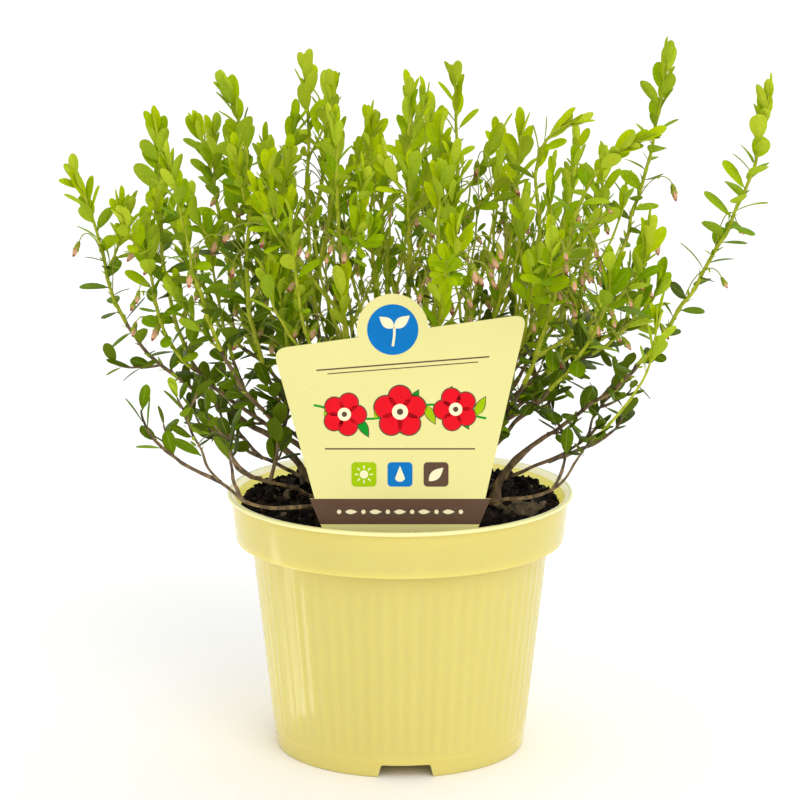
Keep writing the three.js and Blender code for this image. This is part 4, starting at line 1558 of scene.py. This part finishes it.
def make_label():
    pile = Pile()
    half = LABEL.thick / 2
    pile.add(*prism(label_outline(), -half, half, on_label))
    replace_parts(pile.piece("label_card", ["card"], "label", sharp=30), "plant_label")


class Print:
    """The thin printed shapes on the label's front, laid one over another."""

    def __init__(self):
        self.pile = Pile()

    def shape(self, outline, ink, layer=1):
        outline = [tuple(p) for p in outline]
        area = sum(a[0] * b[1] - b[0] * a[1] for a, b in zip(outline, outline[1:] + outline[:1]))
        outline = outline if area > 0 else outline[::-1]
        bottom = LABEL.thick / 2 - PRINT.sunk
        top = LABEL.thick / 2 + PRINT.raised + PRINT.layer * (layer - 1)
        self.pile.add(*prism(outline, bottom, top, on_label), INKS.index("ink_" + ink))

    def disc(self, centre, radius, ink, layer=1):
        self.shape(arc(centre, radius, 0, 360, 33)[:-1], ink, layer)

    def stroke(self, line, width, ink, layer=1):
        line = np.array(line, float)
        ways = unit(np.gradient(line, axis=0))
        aside = np.stack([-ways[:, 1], ways[:, 0]], axis=1) * width / 2
        self.shape(np.concatenate([line + aside, (line - aside)[::-1]]), ink, layer)

    def leaf(self, foot, turn, length, width, ink, layer=1):
        t = np.linspace(0, 1, 12)[:, None]
        half = width / 2 * np.sin(math.pi * t**0.85)
        way = level_way(math.radians(turn))[:2]
        middle, aside = np.array(foot) + way * length * t, np.array([-way[1], way[0]]) * half
        self.shape(np.concatenate([middle + aside, (middle - aside)[-2:0:-1]]), ink, layer)


def garland_at(x):
    """A point of the waving stem that carries the blossoms."""
    garland = PRINT.garland
    return (x, garland.z + garland.high * math.sin(x / garland.long))


def draw_garland(made):
    """A waving stem with leaves to both sides and three blossoms."""
    garland, leaf = PRINT.garland, PRINT.leaf
    made.stroke([garland_at(x) for x in np.linspace(-garland.half, garland.half, 60)], garland.wide, "green")
    for i, x in enumerate(np.arange(-garland.leafy, garland.leafy + 1, leaf.apart)):
        turn = leaf.turn if i % 2 else -leaf.turn
        made.leaf(garland_at(x), turn, *leaf.rim, "brown")
        made.leaf(garland_at(x), turn, *leaf.face, "green" if i % 3 else "lime", 2)
    for x, size in PRINT.blossoms:
        draw_blossom(made, garland_at(x), size, 18 + x)


def draw_blossom(made, centre, size, turn):
    """A plain blossom of five round petals about a pale middle."""
    for i in range(BLOSSOM.petals):
        away = level_way(math.radians(turn + 360 * i / BLOSSOM.petals))[:2]
        at = np.array(centre) + BLOSSOM.ring * size * away
        made.disc(at, BLOSSOM.rim * size, "brown", 2)
        made.disc(at, BLOSSOM.petal * size, "red", 3)
    made.disc(centre, BLOSSOM.middle * size, "cream", 4)
    made.disc(centre, BLOSSOM.dot * size, "brown", 5)


def draw_band(made):
    """The brown band across the label's foot, just inside its edge, with a row of dots and leaves."""
    foot, half, bottom, top = LABEL.band_foot_half, LABEL.band_half, LABEL.band_foot_z, LABEL.card_z
    low_half = blend((foot, half), (LABEL.print_z - bottom) / (top - bottom)) - PRINT.inset
    half -= PRINT.inset
    made.shape([(-low_half, LABEL.print_z), (low_half, LABEL.print_z), (half, top), (-half, top)], "brown")
    dots = PRINT.dots
    for i in range(-dots.count, dots.count + 1):
        if i % 2:
            made.disc((dots.apart * i, dots.z), dots.radius, "cream", 2)
        else:
            made.leaf((dots.apart * (i - 0.5), dots.z), 0, dots.apart, dots.leaf_wide, "cream", 2)


def draw_seedling(made, middle):
    """Two seed leaves on a stalk, pale on a plain disc."""
    x, z = middle
    made.disc(middle, PRINT.head_disc, "blue")
    plan = PRINT.seedling
    stalk = [(x + plan.sway * math.sin(t * 2), z + plan.foot + plan.tall * t) for t in np.linspace(0, 1, 12)]
    made.stroke(stalk, plan.wide, "cream", 2)
    for leaf in PRINT.seed_leaves:
        made.leaf((x + plan.top[0], z + plan.top[1]), *leaf, "cream", 2)


def draw_care_signs(made, z):
    """A sun, a water drop and a leaf on three small tiles."""
    half, corner = PRINT.tile.half, PRINT.tile.corner
    for x, ink in PRINT.signs:
        tile = []
        for sx, sy, start in ((1, 1, 0), (-1, 1, 90), (-1, -1, 180), (1, -1, 270)):
            tile += arc((x + sx * half, z + sy * half), corner, start, start + 90, 5)
        made.shape(tile, ink)
    at_sun, at_drop, at_leaf = (x for x, _ in PRINT.signs)
    sun, drop, leaf = PRINT.sun, PRINT.drop, PRINT.sign_leaf
    made.disc((at_sun, z), sun.radius, "cream", 2)
    for i in range(sun.rays):
        ray = level_way(math.radians(360 / sun.rays * i))[:2]
        made.stroke([(at_sun, z) + r * ray for r in np.linspace(*sun.ray, 4)], sun.wide, "cream", 2)
    round_foot = arc((at_drop, z + drop.foot), drop.radius, 200, 340, 12)
    made.shape([(at_drop, z + drop.tip), *round_foot], "cream", 2)
    made.leaf((at_leaf + leaf.foot[0], z + leaf.foot[1]), leaf.turn, *leaf.size, "cream", 2)


def draw_flecks(made):
    """Faint flecks of the card's recycled fibres."""
    rng = np.random.default_rng(21)
    flecks = PRINT.flecks
    for _ in range(flecks.count):
        v = rng.uniform(flecks.from_z, flecks.to_z)
        half = blend((LABEL.card_half, LABEL.right[0]), (v - LABEL.card_z) / flecks.over)
        u = rng.uniform(-half, half) * flecks.inside
        made.disc((u, v), rng.uniform(*flecks.radius), "speck", 0)


def make_print():
    """A generic print: a garland of blossoms, three plain care signs and rules, with no lettering."""
    made = Print()
    draw_band(made)
    draw_garland(made)
    for left, right, z, slope, width in PRINT.rules:
        made.stroke([(x, z + slope * x) for x in np.linspace(left, right, 8)], width, "brown")
    draw_seedling(made, LABEL.head)
    draw_care_signs(made, PRINT.signs_z)
    draw_flecks(made)
    made.pile.piece("label_print", INKS, "label", sharp=30)


def make_floor():
    """A plain pale floor."""
    corners = [(x * FLOOR_HALF / MM, y * FLOOR_HALF / MM, 0) for x, y in ((-1, -1), (1, -1), (1, 1), (-1, 1))]
    pile = Pile()
    pile.add(corners, [(0, 1, 2, 3)])
    mesh = pile.mesh("floor")
    mesh.materials.append(FINISHES["floor_pale"])
    placed("floor", mesh)


def make_light():
    """A bright surrounding, two soft suns and the strip lamp."""
    world = bpy.data.worlds.new("studio")
    world.use_nodes = True
    world.node_tree.nodes["Background"].inputs["Color"].default_value = (1, 1, 1, 1)
    world.node_tree.nodes["Background"].inputs["Strength"].default_value = WORLD_POWER
    bpy.context.scene.world = world
    for name, place, power, softness in SUNS:
        lamp = bpy.data.lights.new(name, "SUN")
        lamp.energy = power
        lamp.angle = math.radians(softness)
        placed(name, lamp, place, (-Vector(place)).to_track_quat("-Z", "Y").to_euler())
    strip = bpy.data.lights.new("strip", "AREA")
    strip.shape = "RECTANGLE"
    strip.size, strip.size_y, strip.energy = STRIP.long, STRIP.wide, STRIP.power
    placed("strip", strip, STRIP.place, (math.pi, 0, math.radians(STRIP.turn)))


def make_camera():
    camera = bpy.data.cameras.new("camera")
    camera.lens = CAMERA.lens
    camera.sensor_width = CAMERA.sensor
    camera.clip_end = CAMERA.clip_end
    turn = (math.radians(90 - CAMERA.pitch), 0, 0)
    bpy.context.scene.camera = placed("camera", camera, (0, -CAMERA.back, CAMERA.up), turn)


bpy.context.scene.view_settings.view_transform = "Standard"
make_camera()
make_floor()
make_light()
make_pot()
make_soil()
make_crumbs()
make_fibres()
make_chips()
make_label()
make_print()
crown = grow_crown()
make_wood(crown)
make_leaves(crown)
make_bracts(crown)
make_buds(crown)
